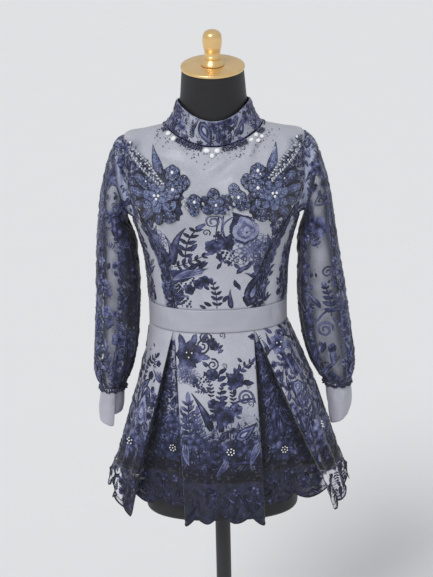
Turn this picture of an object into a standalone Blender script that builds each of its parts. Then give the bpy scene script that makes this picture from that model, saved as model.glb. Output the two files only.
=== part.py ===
"""Kebaya blouse on a limbless dress form.

A fitted high-neck blouse of satin under embroidered tulle: princess-seamed bodice, stand
collar, waistband, box-pleated peplum with a scalloped lace border, and sheer bishop sleeves
over narrow satin linings, gathered into satin cuffs. It rests on a black form with a gilt
neck cap, on a pole and a round base.

Metres, +Z up, the front faces -Y, the origin is at the centre of the base's underside.
Left and right are the wearer's: the left sleeve is at +X.
"""
from math import asin, cos, exp, pi, radians, sin, tan

import bmesh
import bpy
import numpy as np

# ---------------------------------------------------------------- driving dimensions
SEAM = 0.0003                 # gap between pieces that are sewn or rest together
CLOTH = 0.0014                # satin and tulle made up as one wall
COLLAR_CLOTH = 0.0018         # stiffened stand collar
BAND_CLOTH = 0.0020           # doubled satin of the waistband
SLEEVE_CLOTH = 0.0012         # outer sleeve of tulle
LINING_CLOTH = 0.0010         # satin sleeve lining
CUFF_CLOTH = 0.0018           # doubled satin of the cuffs
LACE = 0.0010                 # tulle border below the lining's hem
APPLIQUE = 0.0022             # padded flower applique, at its middle
APPLIQUE_EDGE = 0.0008        # its edge, and how much its petals add to that
APPLIQUE_PETALS = 0.00154
APPLIQUE_LIFT = 0.0010        # applique's underside above the bodice
CHAIN_LIFT = 0.0022           # the chain bridges the hollow between the cups

WAIST_TOP = 1.0213            # bodice ends, waistband begins
WAIST_BOTTOM = 0.9727         # waistband ends, peplum begins
WAIST_HALF = 0.1405           # half width of the blouse's outer face at the waistband
WAIST_FRONT = -0.1040         # its front and back there
WAIST_BACK = 0.0905
WAIST_SQUARE = 2.10
BAND_ROLL = 0.0005            # the band's edges stand this much prouder than its middle
HEM = 0.6760                  # hem of the peplum's lining
ZIP_END = 0.9000              # lower end of the concealed zip in the centre back
ZIP_HALF = 0.0030             # half the width of the zip's tape
ZIP_KNEE = 0.9364             # height where the zip's tape follows the hip
BUST_X = 0.083                # bust cup: place, spread and fullness
BUST_Z = 1.238
BUST_SPREAD_X = 0.048
BUST_SPREAD_Z = 0.042
BUST_FULLNESS = 0.026

POLE_RADIUS = 0.016
BASE_RADIUS = 0.180
BASE_HEIGHT = 0.016
FLANGE_RADIUS = 0.045
FLANGE_HEIGHT = 0.008

CAP_RADIUS = 0.0625
CAP_THICKNESS = 0.0065
CAP_TILT = radians(13)        # the neck leans forward, and the cap with it
CAP_SEAT = (0.0, -0.0160, 1.4863)
CAP_SIDES = 32
FINIAL_SIDES = 20
POLE_SIDES = 24
BASE_SIDES = 48

CENTRE_FRONT_AROUND = 12      # columns of each bodice panel
SIDE_FRONT_AROUND = 5
BACK_AROUND = 8
BAND_AROUND = 44              # columns of the waistband
SLEEVE_SPLIT = 2              # sleeve columns for each row of the armhole
SLEEVE_SQUARE = 2.3           # how square a sleeve and its lining are
LINING_SQUARE = 2.1

# Rings of the blouse's outer face, top to bottom. Each ring is an oval that may dip at the
# front and back: half width, height at the side, depth and height at front and back, and
# how square the oval is (2 is an ellipse).
BODY_RINGS = (
    # half    z_side   y_front   z_front  y_back   z_back   square
    (0.0966, 1.3755, -0.0800, 1.3420, 0.0665, 1.3735, 2.10),      # neck seam
    (0.1390, 1.3670, -0.1010, 1.3100, 0.0845, 1.3520, 2.20),      # middle of the shoulder
    (0.1765, 1.3575, -0.1160, 1.2800, 0.0985, 1.3250, 2.50),      # shoulder point
    (0.1825, 1.3200, -0.1225, 1.2620, 0.1050, 1.2950, 2.60),      # upper armhole
    (0.1830, 1.2620, -0.1265, 1.2370, 0.1090, 1.2500, 2.60),      # middle of the armhole
    (0.1668, 1.1930, -0.1260, 1.1900, 0.1090, 1.1930, 2.35),      # underarm
    (0.1520, 1.1400, -0.1200, 1.1400, 0.1025, 1.1400, 2.20),      # ribs
    (0.1440, 1.0900, -0.1110, 1.0900, 0.0955, 1.0900, 2.15),      # lower ribs
    (WAIST_HALF, WAIST_TOP, WAIST_FRONT, WAIST_TOP, WAIST_BACK, WAIST_TOP, WAIST_SQUARE),
)
SHOULDER_ROW = 2.0            # the armhole runs from here
UNDERARM_ROW = 5.0            # to here, counted in rings
PRINCESS_ROW = 4.4            # the front princess seam starts at the armhole here
PRINCESS_STEP = 0.04          # and the side front panel just below it
WAIST_ROW = 8.0
ARMHOLE_ROWS = (SHOULDER_ROW, 2.25, 2.7, 3.3, 3.9, PRINCESS_ROW, 4.8, UNDERARM_ROW)
BACK_ROWS = (0.0, 0.7, 1.4) + ARMHOLE_ROWS + (5.5, 6.1, 6.8, 7.4, WAIST_ROW)
FRONT_ROWS = tuple(sorted(BACK_ROWS + (PRINCESS_ROW + PRINCESS_STEP,)))

# Half of the armhole's opening, in degrees round the ring from the side seam.
ARMHOLE = (
    # row    front    back
    (2.00, 0.0, 0.0),
    (2.25, 13.0, 11.0),
    (2.70, 18.0, 15.0),
    (3.30, 20.0, 17.0),
    (3.90, 23.0, 19.0),
    (4.40, 27.0, 21.0),
    (4.80, 23.0, 19.0),
    (5.00, 0.0, 0.0),
)

# Front princess seams: distance from the centre front, on the right and on the left side.
PRINCESS = (
    # row    right    left
    (4.44, 0.1540, 0.1540),
    (4.80, 0.1420, 0.1400),
    (5.50, 0.1215, 0.1150),
    (6.10, 0.1080, 0.0990),
    (6.80, 0.0960, 0.0850),
    (7.40, 0.0905, 0.0770),
    (8.00, 0.0875, 0.0730),
)

# The dress form, neck to foot, with the same columns as the blouse's rings.
FORM_RINGS = (
    # half    z_side   y_front   z_front  y_back   z_back   square
    (0.0605, 1.4860, -0.0745, 1.4730, 0.0435, 1.4990, 2.00),      # under the cap
    (0.0630, 1.4570, -0.0690, 1.4430, 0.0475, 1.4680, 2.00),      # neck
    (0.0655, 1.4280, -0.0645, 1.4080, 0.0500, 1.4320, 2.00),      # neck inside the collar
    (0.0700, 1.4030, -0.0640, 1.3760, 0.0515, 1.4030, 2.00),      # root of the neck
    (0.0820, 1.3830, -0.0670, 1.3520, 0.0550, 1.3820, 2.05),      # slope to the shoulder
    (0.0985, 1.3700, -0.0750, 1.3330, 0.0620, 1.3660, 2.10),
    (0.1370, 1.3615, -0.0955, 1.3040, 0.0795, 1.3460, 2.20),      # middle of the shoulder
    (0.1700, 1.3515, -0.1100, 1.2760, 0.0930, 1.3200, 2.40),      # shoulder point
    (0.1760, 1.3170, -0.1170, 1.2580, 0.0995, 1.2910, 2.60),      # arm plate
    (0.1765, 1.2600, -0.1205, 1.2340, 0.1030, 1.2480, 2.60),
    (0.1600, 1.1930, -0.1200, 1.1900, 0.1030, 1.1930, 2.30),      # underarm
    (0.1450, 1.1400, -0.1140, 1.1400, 0.0965, 1.1400, 2.20),      # ribs
    (0.1360, 1.0850, -0.1045, 1.0850, 0.0885, 1.0850, 2.15),
    (0.1310, 1.0000, -0.0950, 1.0000, 0.0815, 1.0000, 2.10),      # waist
    (0.1410, 0.9200, -0.0990, 0.9200, 0.0900, 0.9200, 2.20),      # high hip
    (0.1580, 0.8200, -0.1010, 0.8200, 0.1050, 0.8200, 2.20),      # hip
    (0.1640, 0.7000, -0.0980, 0.7000, 0.1010, 0.7000, 2.20),      # thigh
    (0.1600, 0.5700, -0.0960, 0.5700, 0.0960, 0.5700, 2.30),      # foot of the form
)
FORM_STEPS = 1.1              # rings built for each ring of the table
FORM_AROUND = 34
FORM_FOOT_ROUND = 0.010       # rounding under the foot

# Stand collar, from the neck seam up.
COLLAR_RINGS = (
    # half    z_side   y_front   z_front  y_back   z_back   square
    (0.0950, 1.3778, -0.0792, 1.3442, 0.0655, 1.3757, 2.10),
    (0.0855, 1.3905, -0.0755, 1.3570, 0.0610, 1.3900, 2.05),
    (0.0775, 1.4070, -0.0728, 1.3740, 0.0575, 1.4080, 2.00),
    (0.0727, 1.4235, -0.0715, 1.3905, 0.0555, 1.4260, 2.00),
)
COLLAR_AROUND = 36
COLLAR_GAP = 0.0006           # half the opening at the centre back

# Peplum, waist to the lowest lace: middle and half width, depth at front and back.
PEPLUM_RINGS = (
    # z        mid     half    y_front   y_back   square
    (WAIST_BOTTOM, 0.0000, WAIST_HALF, WAIST_FRONT, WAIST_BACK, WAIST_SQUARE),
    (0.9140, 0.0075, 0.1580, -0.1240, 0.1120, 2.25),
    (0.8300, 0.0130, 0.1850, -0.1400, 0.1360, 2.35),
    (0.7480, 0.0145, 0.2090, -0.1520, 0.1550, 2.40),
    (HEM, 0.0150, 0.2310, -0.1600, 0.1690, 2.40),
    (0.5900, 0.0140, 0.2560, -0.1680, 0.1800, 2.40),
)
# Inverted pleats at the waist and at the hem: where the box panel's fold lies, where the
# side panel's fold lies, how deep the underlay lies behind them, and how far it runs under.
PLEATS = {
    # name           (fold, side fold, depth, under) at the waist, then at the hem
    "front_right": ((-0.0885, -0.0915, 0.0030, 0.0005), (-0.0800, -0.1700, 0.0430, 0.0080)),
    "front_left": ((0.0705, 0.0735, 0.0030, 0.0005), (0.0840, 0.2010, 0.0430, 0.0080)),
    "back_right": ((-0.0785, -0.0815, 0.0030, 0.0005), (-0.0830, -0.1700, 0.0400, 0.0080)),
    "back_left": ((0.0785, 0.0815, 0.0030, 0.0005), (0.0860, 0.1900, 0.0400, 0.0080)),
}
PLEAT_OPENING = 0.8                   # the pleats open fast below the waist: a power of the drop
PLEAT_SWING = 1.25                    # and no further than this many drops
UNDERLAY_SHARE = 0.85                 # the underlay lies this shallow at the side panel
FRONT_CENTRE = -0.004                 # middle of the front box panel
PEPLUM_ROWS = (0.0, 0.10, 0.28, 0.52, 0.76, 1.0)    # share of the drop from waist to hem
PEPLUM_COLUMNS = (4, 1, 4, 1, 7)      # box panel, return, underlay, return, side panel
BORDER_COLUMNS = (6, 2, 8, 2, 14)     # the same stretches in the lace border
SCALLOP_COLUMNS = 4
SCALLOP_DEPTH = 0.0200
SCALLOP_ROUND = 0.7                   # power that makes the scallops round
BORDER_ROWS = (0.0, 0.55, 1.0)        # share of the border's depth
BORDER_FLARE = 0.8                    # share of the deepest drop by which the plan widens
# Depth of the lace border at each corner of a half of the peplum, centre line to side seam.
BORDER_DROPS = {"centre": 0.0700, "box_fold": 0.0860, "under_box": 0.0700, "under_side": 0.0640,
                "side_fold": 0.0840, "side_seam": 0.0380}

# Sleeves, armhole to cuff, each ring by its outer and inner point seen from the front.
RIGHT_SLEEVE = (
    # out_x   out_z    in_x     in_z     depth   y_mid    gather
    (0.1945, 1.3460, 0.1735, 1.1995, 0.0620, -0.003, 0.0),
    (0.2070, 1.3215, 0.1770, 1.1960, 0.0670, 0.000, 0.0),
    (0.2190, 1.2850, 0.1783, 1.1890, 0.0680, 0.000, 0.0),
    (0.2280, 1.2440, 0.1765, 1.1790, 0.0670, 0.000, 0.0),
    (0.2350, 1.2000, 0.1690, 1.1630, 0.0655, 0.000, 0.0),
    (0.2400, 1.1550, 0.1615, 1.1400, 0.0645, 0.000, 0.0),
    (0.2450, 1.0900, 0.1580, 1.0850, 0.0630, 0.000, 0.0005),
    (0.2480, 1.0300, 0.1580, 1.0300, 0.0620, 0.000, 0.0010),
    (0.2535, 0.9550, 0.1630, 0.9550, 0.0630, 0.000, 0.0018),
    (0.2565, 0.8950, 0.1745, 0.8950, 0.0610, 0.000, 0.0028),
    (0.2540, 0.8600, 0.1870, 0.8600, 0.0520, 0.000, 0.0034),
    (0.2460, 0.8360, 0.1970, 0.8360, 0.0390, 0.000, 0.0020),
)
LEFT_SLEEVE = (
    # out_x   out_z    in_x     in_z     depth   y_mid    gather
    (0.1945, 1.3440, 0.1735, 1.1995, 0.0620, -0.003, 0.0),
    (0.2070, 1.3205, 0.1770, 1.1960, 0.0670, 0.000, 0.0),
    (0.2190, 1.2840, 0.1783, 1.1890, 0.0680, 0.000, 0.0),
    (0.2280, 1.2430, 0.1765, 1.1790, 0.0670, 0.000, 0.0),
    (0.2350, 1.1990, 0.1690, 1.1620, 0.0655, 0.000, 0.0),
    (0.2410, 1.1550, 0.1638, 1.1380, 0.0645, 0.000, 0.0),
    (0.2515, 1.0900, 0.1635, 1.0880, 0.0630, 0.000, 0.0005),
    (0.2620, 1.0300, 0.1625, 1.0300, 0.0620, 0.002, 0.0010),
    (0.2715, 0.9550, 0.1690, 0.9550, 0.0630, 0.004, 0.0018),
    (0.2790, 0.8950, 0.1850, 0.8950, 0.0610, 0.006, 0.0028),
    (0.2765, 0.8580, 0.2020, 0.8580, 0.0520, 0.008, 0.0034),
    (0.2710, 0.8330, 0.2190, 0.8330, 0.0390, 0.010, 0.0020),
)
SLEEVE_HEAD_OUT = 0.0050      # the sleeve leaves the armhole straight outwards this far
UNDERARM_ARCH = 0.0040        # and arches this much under the arm
SHOULDER_DROP = 0.0015        # and falls this much at the shoulder
ARMHOLE_GAP = 0.0005          # between the sleeve's head and the armhole's edge
# How far inside the outer sleeve the lining runs, ring by ring.
LINING_INSET = (
    # ring   inset
    (1.0, 0.0060),
    (3.0, 0.0080),
    (5.0, 0.0120),
    (7.0, 0.0165),
    (9.0, 0.0180),
    (10.0, 0.0140),
    (11.0, 0.0075),
)
LINING_RINGS = (1.0, 3.0, 5.0, 7.0, 8.5, 10.0, 11.0)
LINING_AROUND = 18

# Cuffs: height below the sleeve, outer and inner side, half depth.
RIGHT_CUFF = (
    # z        out_x   in_x    depth   y_mid
    (0.8357, 0.2455, 0.1975, 0.0370, 0.000),
    (0.8150, 0.2490, 0.1985, 0.0375, 0.000),
    (0.7930, 0.2530, 0.2000, 0.0385, 0.000),
    (0.7800, 0.2530, 0.2030, 0.0390, 0.000),
)
LEFT_CUFF = (
    # z        out_x   in_x    depth   y_mid
    (0.8327, 0.2705, 0.2195, 0.0370, 0.010),
    (0.8100, 0.2750, 0.2210, 0.0375, 0.010),
    (0.7850, 0.2750, 0.2240, 0.0385, 0.010),
    (0.7680, 0.2690, 0.2290, 0.0370, 0.010),
)
CUFF_AROUND = 27              # 24 once round and 3 in the lap
CUFF_LAP = radians(45)        # how far the buttoned end laps over the other
CUFF_LAP_LIFT = 0.0030        # the lap lies this much further out
CUFF_LAP_FLARE = 0.8          # and that share more at its lower edge
CUFF_TIP = 0.0260             # the lapped corner hangs this much lower
CUFF_LAP_START = {"right": radians(60), "left": radians(100)}

# Bust applique: outline round its middle, degrees from the outer side upwards.
CLUSTER_MIDDLE = (0.1060, 1.2610)
CLUSTER_OUTLINE = (
    # angle   radius
    (0, 0.0480),
    (25, 0.0560),
    (45, 0.0640),
    (62, 0.0500),
    (85, 0.0390),
    (108, 0.0470),
    (128, 0.0560),
    (150, 0.0480),
    (175, 0.0450),
    (200, 0.0420),
    (225, 0.0560),
    (245, 0.0560),
    (268, 0.0480),
    (290, 0.0580),
    (312, 0.0560),
    (336, 0.0440),
)
CHAIN_MIDDLE = (0.0020, 1.2450)
CHAIN_OUTLINE = (
    # angle   radius
    (0, 0.0400),
    (20, 0.0390),
    (40, 0.0230),
    (65, 0.0150),
    (90, 0.0180),
    (115, 0.0150),
    (140, 0.0210),
    (160, 0.0340),
    (180, 0.0370),
    (205, 0.0300),
    (230, 0.0180),
    (255, 0.0190),
    (275, 0.0210),
    (300, 0.0170),
    (325, 0.0220),
    (345, 0.0330),
)

# Crystals on the neck seam: angle round the neck, rings below the seam, half sizes.
CRYSTALS = (
    # angle    below   along    across
    (-58.0, 0.16, 0.0052, 0.0056),
    (-47.0, 0.20, 0.0056, 0.0060),
    (-7.5, 0.20, 0.0066, 0.0056),
    (2.5, 0.20, 0.0058, 0.0056),
    (-2.0, 0.46, 0.0050, 0.0052),
    (50.5, 0.16, 0.0048, 0.0046),
    (41.0, 0.22, 0.0052, 0.0046),
    (45.5, 0.46, 0.0048, 0.0046),
    (52.5, 0.42, 0.0044, 0.0046),
)
CRYSTAL_HEIGHT = 0.0042

MATERIALS = {
    # name             colour (linear)          roughness  metallic
    "black_form": ((0.022, 0.022, 0.024), 0.55, 0.0),
    "gilt": ((0.72, 0.46, 0.17), 0.34, 0.75),
    "black_metal": ((0.020, 0.020, 0.022), 0.35, 0.6),
    "lace_on_satin": ((0.26, 0.27, 0.42), 0.50, 0.0),
    "satin": ((0.42, 0.43, 0.52), 0.38, 0.0),
    "tulle": ((0.045, 0.05, 0.14), 0.70, 0.0),
    "applique": ((0.035, 0.04, 0.15), 0.65, 0.0),
    "zip_tape": ((0.20, 0.21, 0.30), 0.60, 0.0),
    "crystal": ((0.85, 0.86, 0.90), 0.08, 0.0),
}


# ---------------------------------------------------------------- shared geometry
def between(rows, place):
    """The row at a fractional place in a table, on a smooth curve through its rows."""
    table = np.asarray(rows, dtype=float)
    last = len(table) - 1
    place = min(max(place, 0.0), float(last))
    low = min(int(place), last - 1)
    t = place - low
    start, end = table[low], table[low + 1]
    slope_in = (end - table[low - 1]) / 2 if low > 0 else end - start
    slope_out = (table[low + 2] - start) / 2 if low + 2 <= last else end - start
    return ((2 * t ** 3 - 3 * t ** 2 + 1) * start + (t ** 3 - 2 * t ** 2 + t) * slope_in
            + (3 * t ** 2 - 2 * t ** 3) * end + (t ** 3 - t ** 2) * slope_out)


def lookup(rows, key, column=1):
    """Straight-line reading of one column of a table at a key in its first column."""
    keys = [row[0] for row in rows]
    return float(np.interp(key, keys, [row[column] for row in rows]))


def oval_point(ring, angle):
    """A point of a ring, at an angle from the front (-Y) towards +X."""
    half, z_side, y_front, z_front, y_back, z_back, square = ring
    c, s = cos(angle), sin(angle)
    power = 2 / square
    y_end, z_end = (y_front, z_front) if c >= 0 else (y_back, z_back)
    return np.array((half * np.sign(s) * abs(s) ** power,
                     y_end * abs(c) ** power,
                     z_side + (z_end - z_side) * c * c))


def with_bust(point, angle):
    """Moves a front point out over the bust cups."""
    front = min(max(cos(angle) / 0.5, 0.0), 1.0)
    if front == 0.0:
        return point
    fade = front * front * (3 - 2 * front)
    rise = exp(-((point[2] - BUST_Z) / BUST_SPREAD_Z) ** 2 / 2)
    cups = sum(exp(-((point[0] - x) / BUST_SPREAD_X) ** 2 / 2) for x in (-BUST_X, BUST_X))
    return point - np.array((0.0, BUST_FULLNESS * fade * rise * cups, 0.0))


def body_point(row, angle):
    """A point of the blouse's outer face."""
    return with_bust(oval_point(between(BODY_RINGS, row), angle), angle)


def unit(vector):
    return vector / np.linalg.norm(vector)


def body_normal(row, angle):
    """The outward direction of the blouse at a point."""
    step = 0.03
    down = body_point(min(row + step, WAIST_ROW), angle) - body_point(max(row - step, 0.0), angle)
    along = body_point(row, angle + step) - body_point(row, angle - step)
    return unit(np.cross(along, -down))


def front_place(x, z):
    """The row and angle of the blouse's front at a given place seen from the front."""
    row = float(np.interp(-z, [-ring[3] for ring in BODY_RINGS], range(len(BODY_RINGS))))
    half = between(BODY_RINGS, row)[0]
    angle = asin(max(-0.95, min(0.95, x / half)))
    step = 1e-4
    for _ in range(25):
        here = body_point(row, angle)
        by_row = (body_point(row + step, angle) - here) / step
        by_angle = (body_point(row, angle + step) - here) / step
        jacobian = np.array(((by_row[0], by_angle[0]), (by_row[2], by_angle[2])))
        miss = np.array((x - here[0], z - here[2]))
        change = np.linalg.lstsq(jacobian, miss, rcond=None)[0]
        row += float(np.clip(change[0], -0.5, 0.5))
        angle += float(np.clip(change[1], -0.2, 0.2))
        row = min(max(row, 0.01), WAIST_ROW - 0.01)
    return row, angle


# ---------------------------------------------------------------- making solids
def new_object(name, material, vertices, faces, smooth_angle=40):
    """One closed body from its points and faces, its faces turned outwards."""
    mesh = bpy.data.meshes.new(name)
    mesh.from_pydata([tuple(v) for v in vertices], [], faces)
    bm = bmesh.new()
    bm.from_mesh(mesh)
    bmesh.ops.triangulate(bm, faces=bm.faces[:], quad_method="SHORT_EDGE")
    bmesh.ops.recalc_face_normals(bm, faces=bm.faces[:])
    if bm.calc_volume(signed=True) < 0:
        bmesh.ops.reverse_faces(bm, faces=bm.faces[:])
    bm.to_mesh(mesh)
    bm.free()
    mesh.shade_smooth()
    mesh.set_sharp_from_angle(angle=radians(smooth_angle))
    made = bpy.data.objects.new(name, mesh)
    mesh.materials.append(MADE_MATERIALS[material])
    bpy.context.scene.collection.objects.link(made)
    return made


def wall(name, material, outer, inner, closed=False):
    """Cloth between two matching grids of points. A closed one runs all the way round."""
    rows, columns = len(outer), len(outer[0])
    points = [p for row in outer for p in row] + [p for row in inner for p in row]
    offset = rows * columns
    faces = []
    turns = columns if closed else columns - 1
    for i in range(rows - 1):
        for j in range(turns):
            k = (j + 1) % columns
            quad = (i * columns + j, i * columns + k, (i + 1) * columns + k, (i + 1) * columns + j)
            faces.append(quad)
            faces.append(tuple(offset + corner for corner in reversed(quad)))
    for j in range(turns):
        k = (j + 1) % columns
        low = (rows - 1) * columns
        faces.append((k, j, offset + j, offset + k))
        faces.append((low + j, low + k, offset + low + k, offset + low + j))
    if not closed:
        for i in range(rows - 1):
            a, b = i * columns, (i + 1) * columns
            faces.append((a, b, offset + b, offset + a))
            a, b = a + columns - 1, b + columns - 1
            faces.append((b, a, offset + a, offset + b))
    return new_object(name, material, points, faces)


def stack(name, material, rings, smooth_angle=40):
    """A closed solid through rings of points, with a flat face at each end."""
    columns = len(rings[0])
    points = [p for ring in rings for p in ring]
    faces = [tuple(reversed(range(columns)))]
    for i in range(len(rings) - 1):
        for j in range(columns):
            k = (j + 1) % columns
            a, b = i * columns, (i + 1) * columns
            faces.append((a + j, a + k, b + k, b + j))
    faces.append(tuple(range((len(rings) - 1) * columns, len(rings) * columns)))
    return new_object(name, material, points, faces, smooth_angle)


def turned(name, material, profile, sides, seat=(0.0, 0.0, 0.0), tilt=0.0):
    """A solid turned from (radius, height) steps, on an axis leaning forward by the tilt."""
    rings = []
    for radius, height in profile:
        ring = []
        for j in range(sides):
            turn = 2 * pi * j / sides
            x, y = radius * cos(turn), radius * sin(turn)
            ring.append(np.array((seat[0] + x,
                                  seat[1] + y * cos(tilt) - height * sin(tilt),
                                  seat[2] + y * sin(tilt) + height * cos(tilt))))
        rings.append(ring)
    return stack(name, material, rings)


def grid_on_body(rows, first, last, columns, depth):
    """Points under the blouse's outer face, between two edges given as angles by row."""
    grid = []
    for row in rows:
        start, end = first(row), last(row)
        angles = [start + (end - start) * j / columns for j in range(columns + 1)]
        grid.append([body_point(row, a) - depth * body_normal(row, a) for a in angles])
    return grid


def seam_angle(row, angle, gap):
    """How far round the ring a gap reaches, as an angle."""
    step = 0.01
    stretch = np.linalg.norm(body_point(row, angle + step) - body_point(row, angle - step))
    return gap * 2 * step / stretch


# ---------------------------------------------------------------- dress form
def make_form():
    """The black form, its gilt cap and finial, and the pole and base it stands on."""
    count = int((len(FORM_RINGS) - 1) * FORM_STEPS)
    rings = []
    for i in range(count + 1):
        ring = between(FORM_RINGS, (len(FORM_RINGS) - 1) * i / count)
        angles = [2 * pi * j / FORM_AROUND for j in range(FORM_AROUND)]
        rings.append([with_bust(oval_point(ring, a), a) for a in angles])
    for point in rings[0]:
        point[2] = CAP_SEAT[2] - SEAM / cos(CAP_TILT) + (point[1] - CAP_SEAT[1]) * tan(CAP_TILT)
    foot_z = FORM_RINGS[-1][1]
    middle = np.array((0.0, 0.0, foot_z))
    shrunk = 1 - FORM_FOOT_ROUND / FORM_RINGS[-1][0]
    rings.append([middle + (p - middle) * shrunk - np.array((0.0, 0.0, FORM_FOOT_ROUND))
                  for p in rings[-1]])
    stack("form_torso", "black_form", rings)

    turned("form_cap", "gilt", (
        (CAP_RADIUS - 0.0015, 0.0),
        (CAP_RADIUS, 0.0012),
        (CAP_RADIUS, CAP_THICKNESS - 0.0025),
        (CAP_RADIUS - 0.0022, CAP_THICKNESS - 0.0006),
        (CAP_RADIUS * 0.5, CAP_THICKNESS),
    ), CAP_SIDES, CAP_SEAT, CAP_TILT)
    lift = CAP_THICKNESS + SEAM
    finial_seat = (0.0, CAP_SEAT[1] - lift * sin(CAP_TILT), CAP_SEAT[2] + lift * cos(CAP_TILT))
    turned("form_finial", "gilt", (
        (0.0225, 0.0),
        (0.0228, 0.0022),
        (0.0195, 0.0075),
        (0.0160, 0.0120),
        (0.0172, 0.0150),
        (0.0172, 0.0180),
        (0.0154, 0.0215),
        (0.0158, 0.0275),
        (0.0180, 0.0370),
        (0.0190, 0.0470),
        (0.0183, 0.0570),
        (0.0150, 0.0645),
        (0.0085, 0.0685),
        (0.0030, 0.0695),
    ), FINIAL_SIDES, finial_seat, CAP_TILT)

    foot = foot_z - FORM_FOOT_ROUND
    turned("form_pole", "black_metal", (
        (POLE_RADIUS, BASE_HEIGHT + SEAM),
        (POLE_RADIUS, foot - SEAM - 2 * FLANGE_HEIGHT),
        (FLANGE_RADIUS, foot - SEAM - FLANGE_HEIGHT),
        (FLANGE_RADIUS, foot - SEAM),
    ), POLE_SIDES)
    turned("form_base", "black_metal", (
        (BASE_RADIUS, 0.0),
        (BASE_RADIUS, 0.0040),
        (BASE_RADIUS - 0.0040, 0.0065),
        (0.0400, 0.0100),
        (0.0300, BASE_HEIGHT),
    ), BASE_SIDES)


# ---------------------------------------------------------------- bodice and collar
def armhole_angle(row, side):
    """Opening of the armhole from the side seam, front (1) or back (2), in radians."""
    return radians(lookup(ARMHOLE, row, side))


def princess_angle(row, hand):
    """Angle of a princess seam, on the right (-1) or the left (+1)."""
    across = lookup(PRINCESS, row, 1 if hand < 0 else 2)
    ring = between(BODY_RINGS, row)
    return asin((across / ring[0]) ** (ring[6] / 2))


def front_edge(row, hand):
    """Outer edge of the centre front panel: shoulder seam, armhole, then princess seam."""
    if row > PRINCESS_ROW + PRINCESS_STEP / 2:
        edge = princess_angle(row, hand)
    else:
        edge = pi / 2 - armhole_angle(row, 1)
    return hand * (edge - seam_angle(row, hand * edge, SEAM / 2))


def side_edge(row, hand):
    """Edge of the side front panel at the armhole and the side seam."""
    edge = pi / 2 - armhole_angle(row, 1)
    return hand * (edge - seam_angle(row, hand * edge, SEAM / 2))


def bodice_panel(name, rows, first, last, columns):
    """A panel of the bodice between two edges, each given as an angle by row."""
    wall(name, "lace_on_satin", grid_on_body(rows, first, last, columns, 0.0),
         grid_on_body(rows, first, last, columns, CLOTH))


def make_bodice():
    """Centre front, two side fronts and two backs, each a curved wall of its own."""
    bodice_panel("bodice_front_centre", FRONT_ROWS, lambda row: front_edge(row, -1),
                 lambda row: front_edge(row, 1), CENTRE_FRONT_AROUND)

    side_rows = [row for row in FRONT_ROWS if row > PRINCESS_ROW]
    for word, hand in (("left", 1), ("right", -1)):
        def side_inner(row):
            edge = princess_angle(row, hand)
            return hand * (edge + seam_angle(row, hand * edge, SEAM / 2))

        def back_side(row):
            edge = pi / 2 + armhole_angle(row, 2)
            return hand * (edge + seam_angle(row, hand * edge, SEAM / 2))

        def back_middle(row):
            return hand * (pi - seam_angle(row, pi, ZIP_HALF + SEAM))

        bodice_panel("bodice_front_side_" + word, side_rows, side_inner,
                     lambda row: side_edge(row, hand), SIDE_FRONT_AROUND)
        bodice_panel("bodice_back_" + word, BACK_ROWS, back_side, back_middle, BACK_AROUND)


def make_collar():
    """Stand collar, open at the centre back by the seam's gap."""
    half_gap = COLLAR_GAP / COLLAR_RINGS[0][4]
    start, turn = -pi + half_gap, 2 * pi - 2 * half_gap
    angles = [start + turn * j / COLLAR_AROUND for j in range(COLLAR_AROUND + 1)]
    outer = [[oval_point(ring, a) for a in angles] for ring in COLLAR_RINGS]
    inner = []
    for ring in COLLAR_RINGS:
        shrunk = list(ring)
        shrunk[0] -= COLLAR_CLOTH
        shrunk[2] += COLLAR_CLOTH
        shrunk[4] -= COLLAR_CLOTH
        inner.append([oval_point(shrunk, a) for a in angles])
    wall("collar", "lace_on_satin", outer, inner)


def make_zip():
    """Tape of the concealed zip, neck seam to below the waistband."""
    outer, inner = [], []
    for row in BACK_ROWS:
        reach = seam_angle(row, pi, ZIP_HALF)
        outer.append([body_point(row, a) for a in (pi + reach, pi - reach)])
        inner.append([body_point(row, a) - CLOTH * body_normal(row, a)
                      for a in (pi + reach, pi - reach)])
    for z in (WAIST_BOTTOM, ZIP_KNEE, ZIP_END + SEAM):
        y = peplum_oval(z)[3]
        outer.append([np.array((x, y, z)) for x in (-ZIP_HALF, ZIP_HALF)])
        inner.append([np.array((x, y - CLOTH, z)) for x in (-ZIP_HALF, ZIP_HALF)])
    wall("back_zip", "zip_tape", outer, inner)


def make_waistband():
    """Doubled satin band, open at the zip."""
    reach = asin(((ZIP_HALF + SEAM) / WAIST_HALF) ** (WAIST_SQUARE / 2))
    start, turn = -pi + reach, 2 * (pi - reach)
    outer, inner = [], []
    for z, proud in ((WAIST_TOP - SEAM, SEAM + BAND_ROLL),
                     ((WAIST_TOP + WAIST_BOTTOM) / 2, SEAM),
                     (WAIST_BOTTOM + SEAM, SEAM + BAND_ROLL)):
        for rows, inset in ((outer, -proud), (inner, BAND_CLOTH - proud)):
            ring = (WAIST_HALF - inset, z, WAIST_FRONT + inset, z, WAIST_BACK - inset, z,
                    WAIST_SQUARE)
            rows.append([oval_point(ring, start + turn * j / BAND_AROUND)
                         for j in range(BAND_AROUND + 1)])
    wall("waistband", "satin", outer, inner)


# ---------------------------------------------------------------- peplum
def peplum_oval(z):
    """Middle, half width, front depth, back depth and squareness of the peplum at a height."""
    heights = [ring[0] for ring in PEPLUM_RINGS]
    place = float(np.interp(-z, [-h for h in heights], range(len(heights))))
    return between([ring[1:] for ring in PEPLUM_RINGS], place)


def peplum_curve(z, x, front):
    """Point of the unpleated peplum at a distance across, on its front or its back."""
    middle, half, y_front, y_back, square = peplum_oval(z)
    reach = min(abs(x - middle) / half, 1.0)
    y_end = y_front if front else y_back
    return np.array((x, y_end * (1 - reach ** square) ** (1 / square)))


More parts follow.
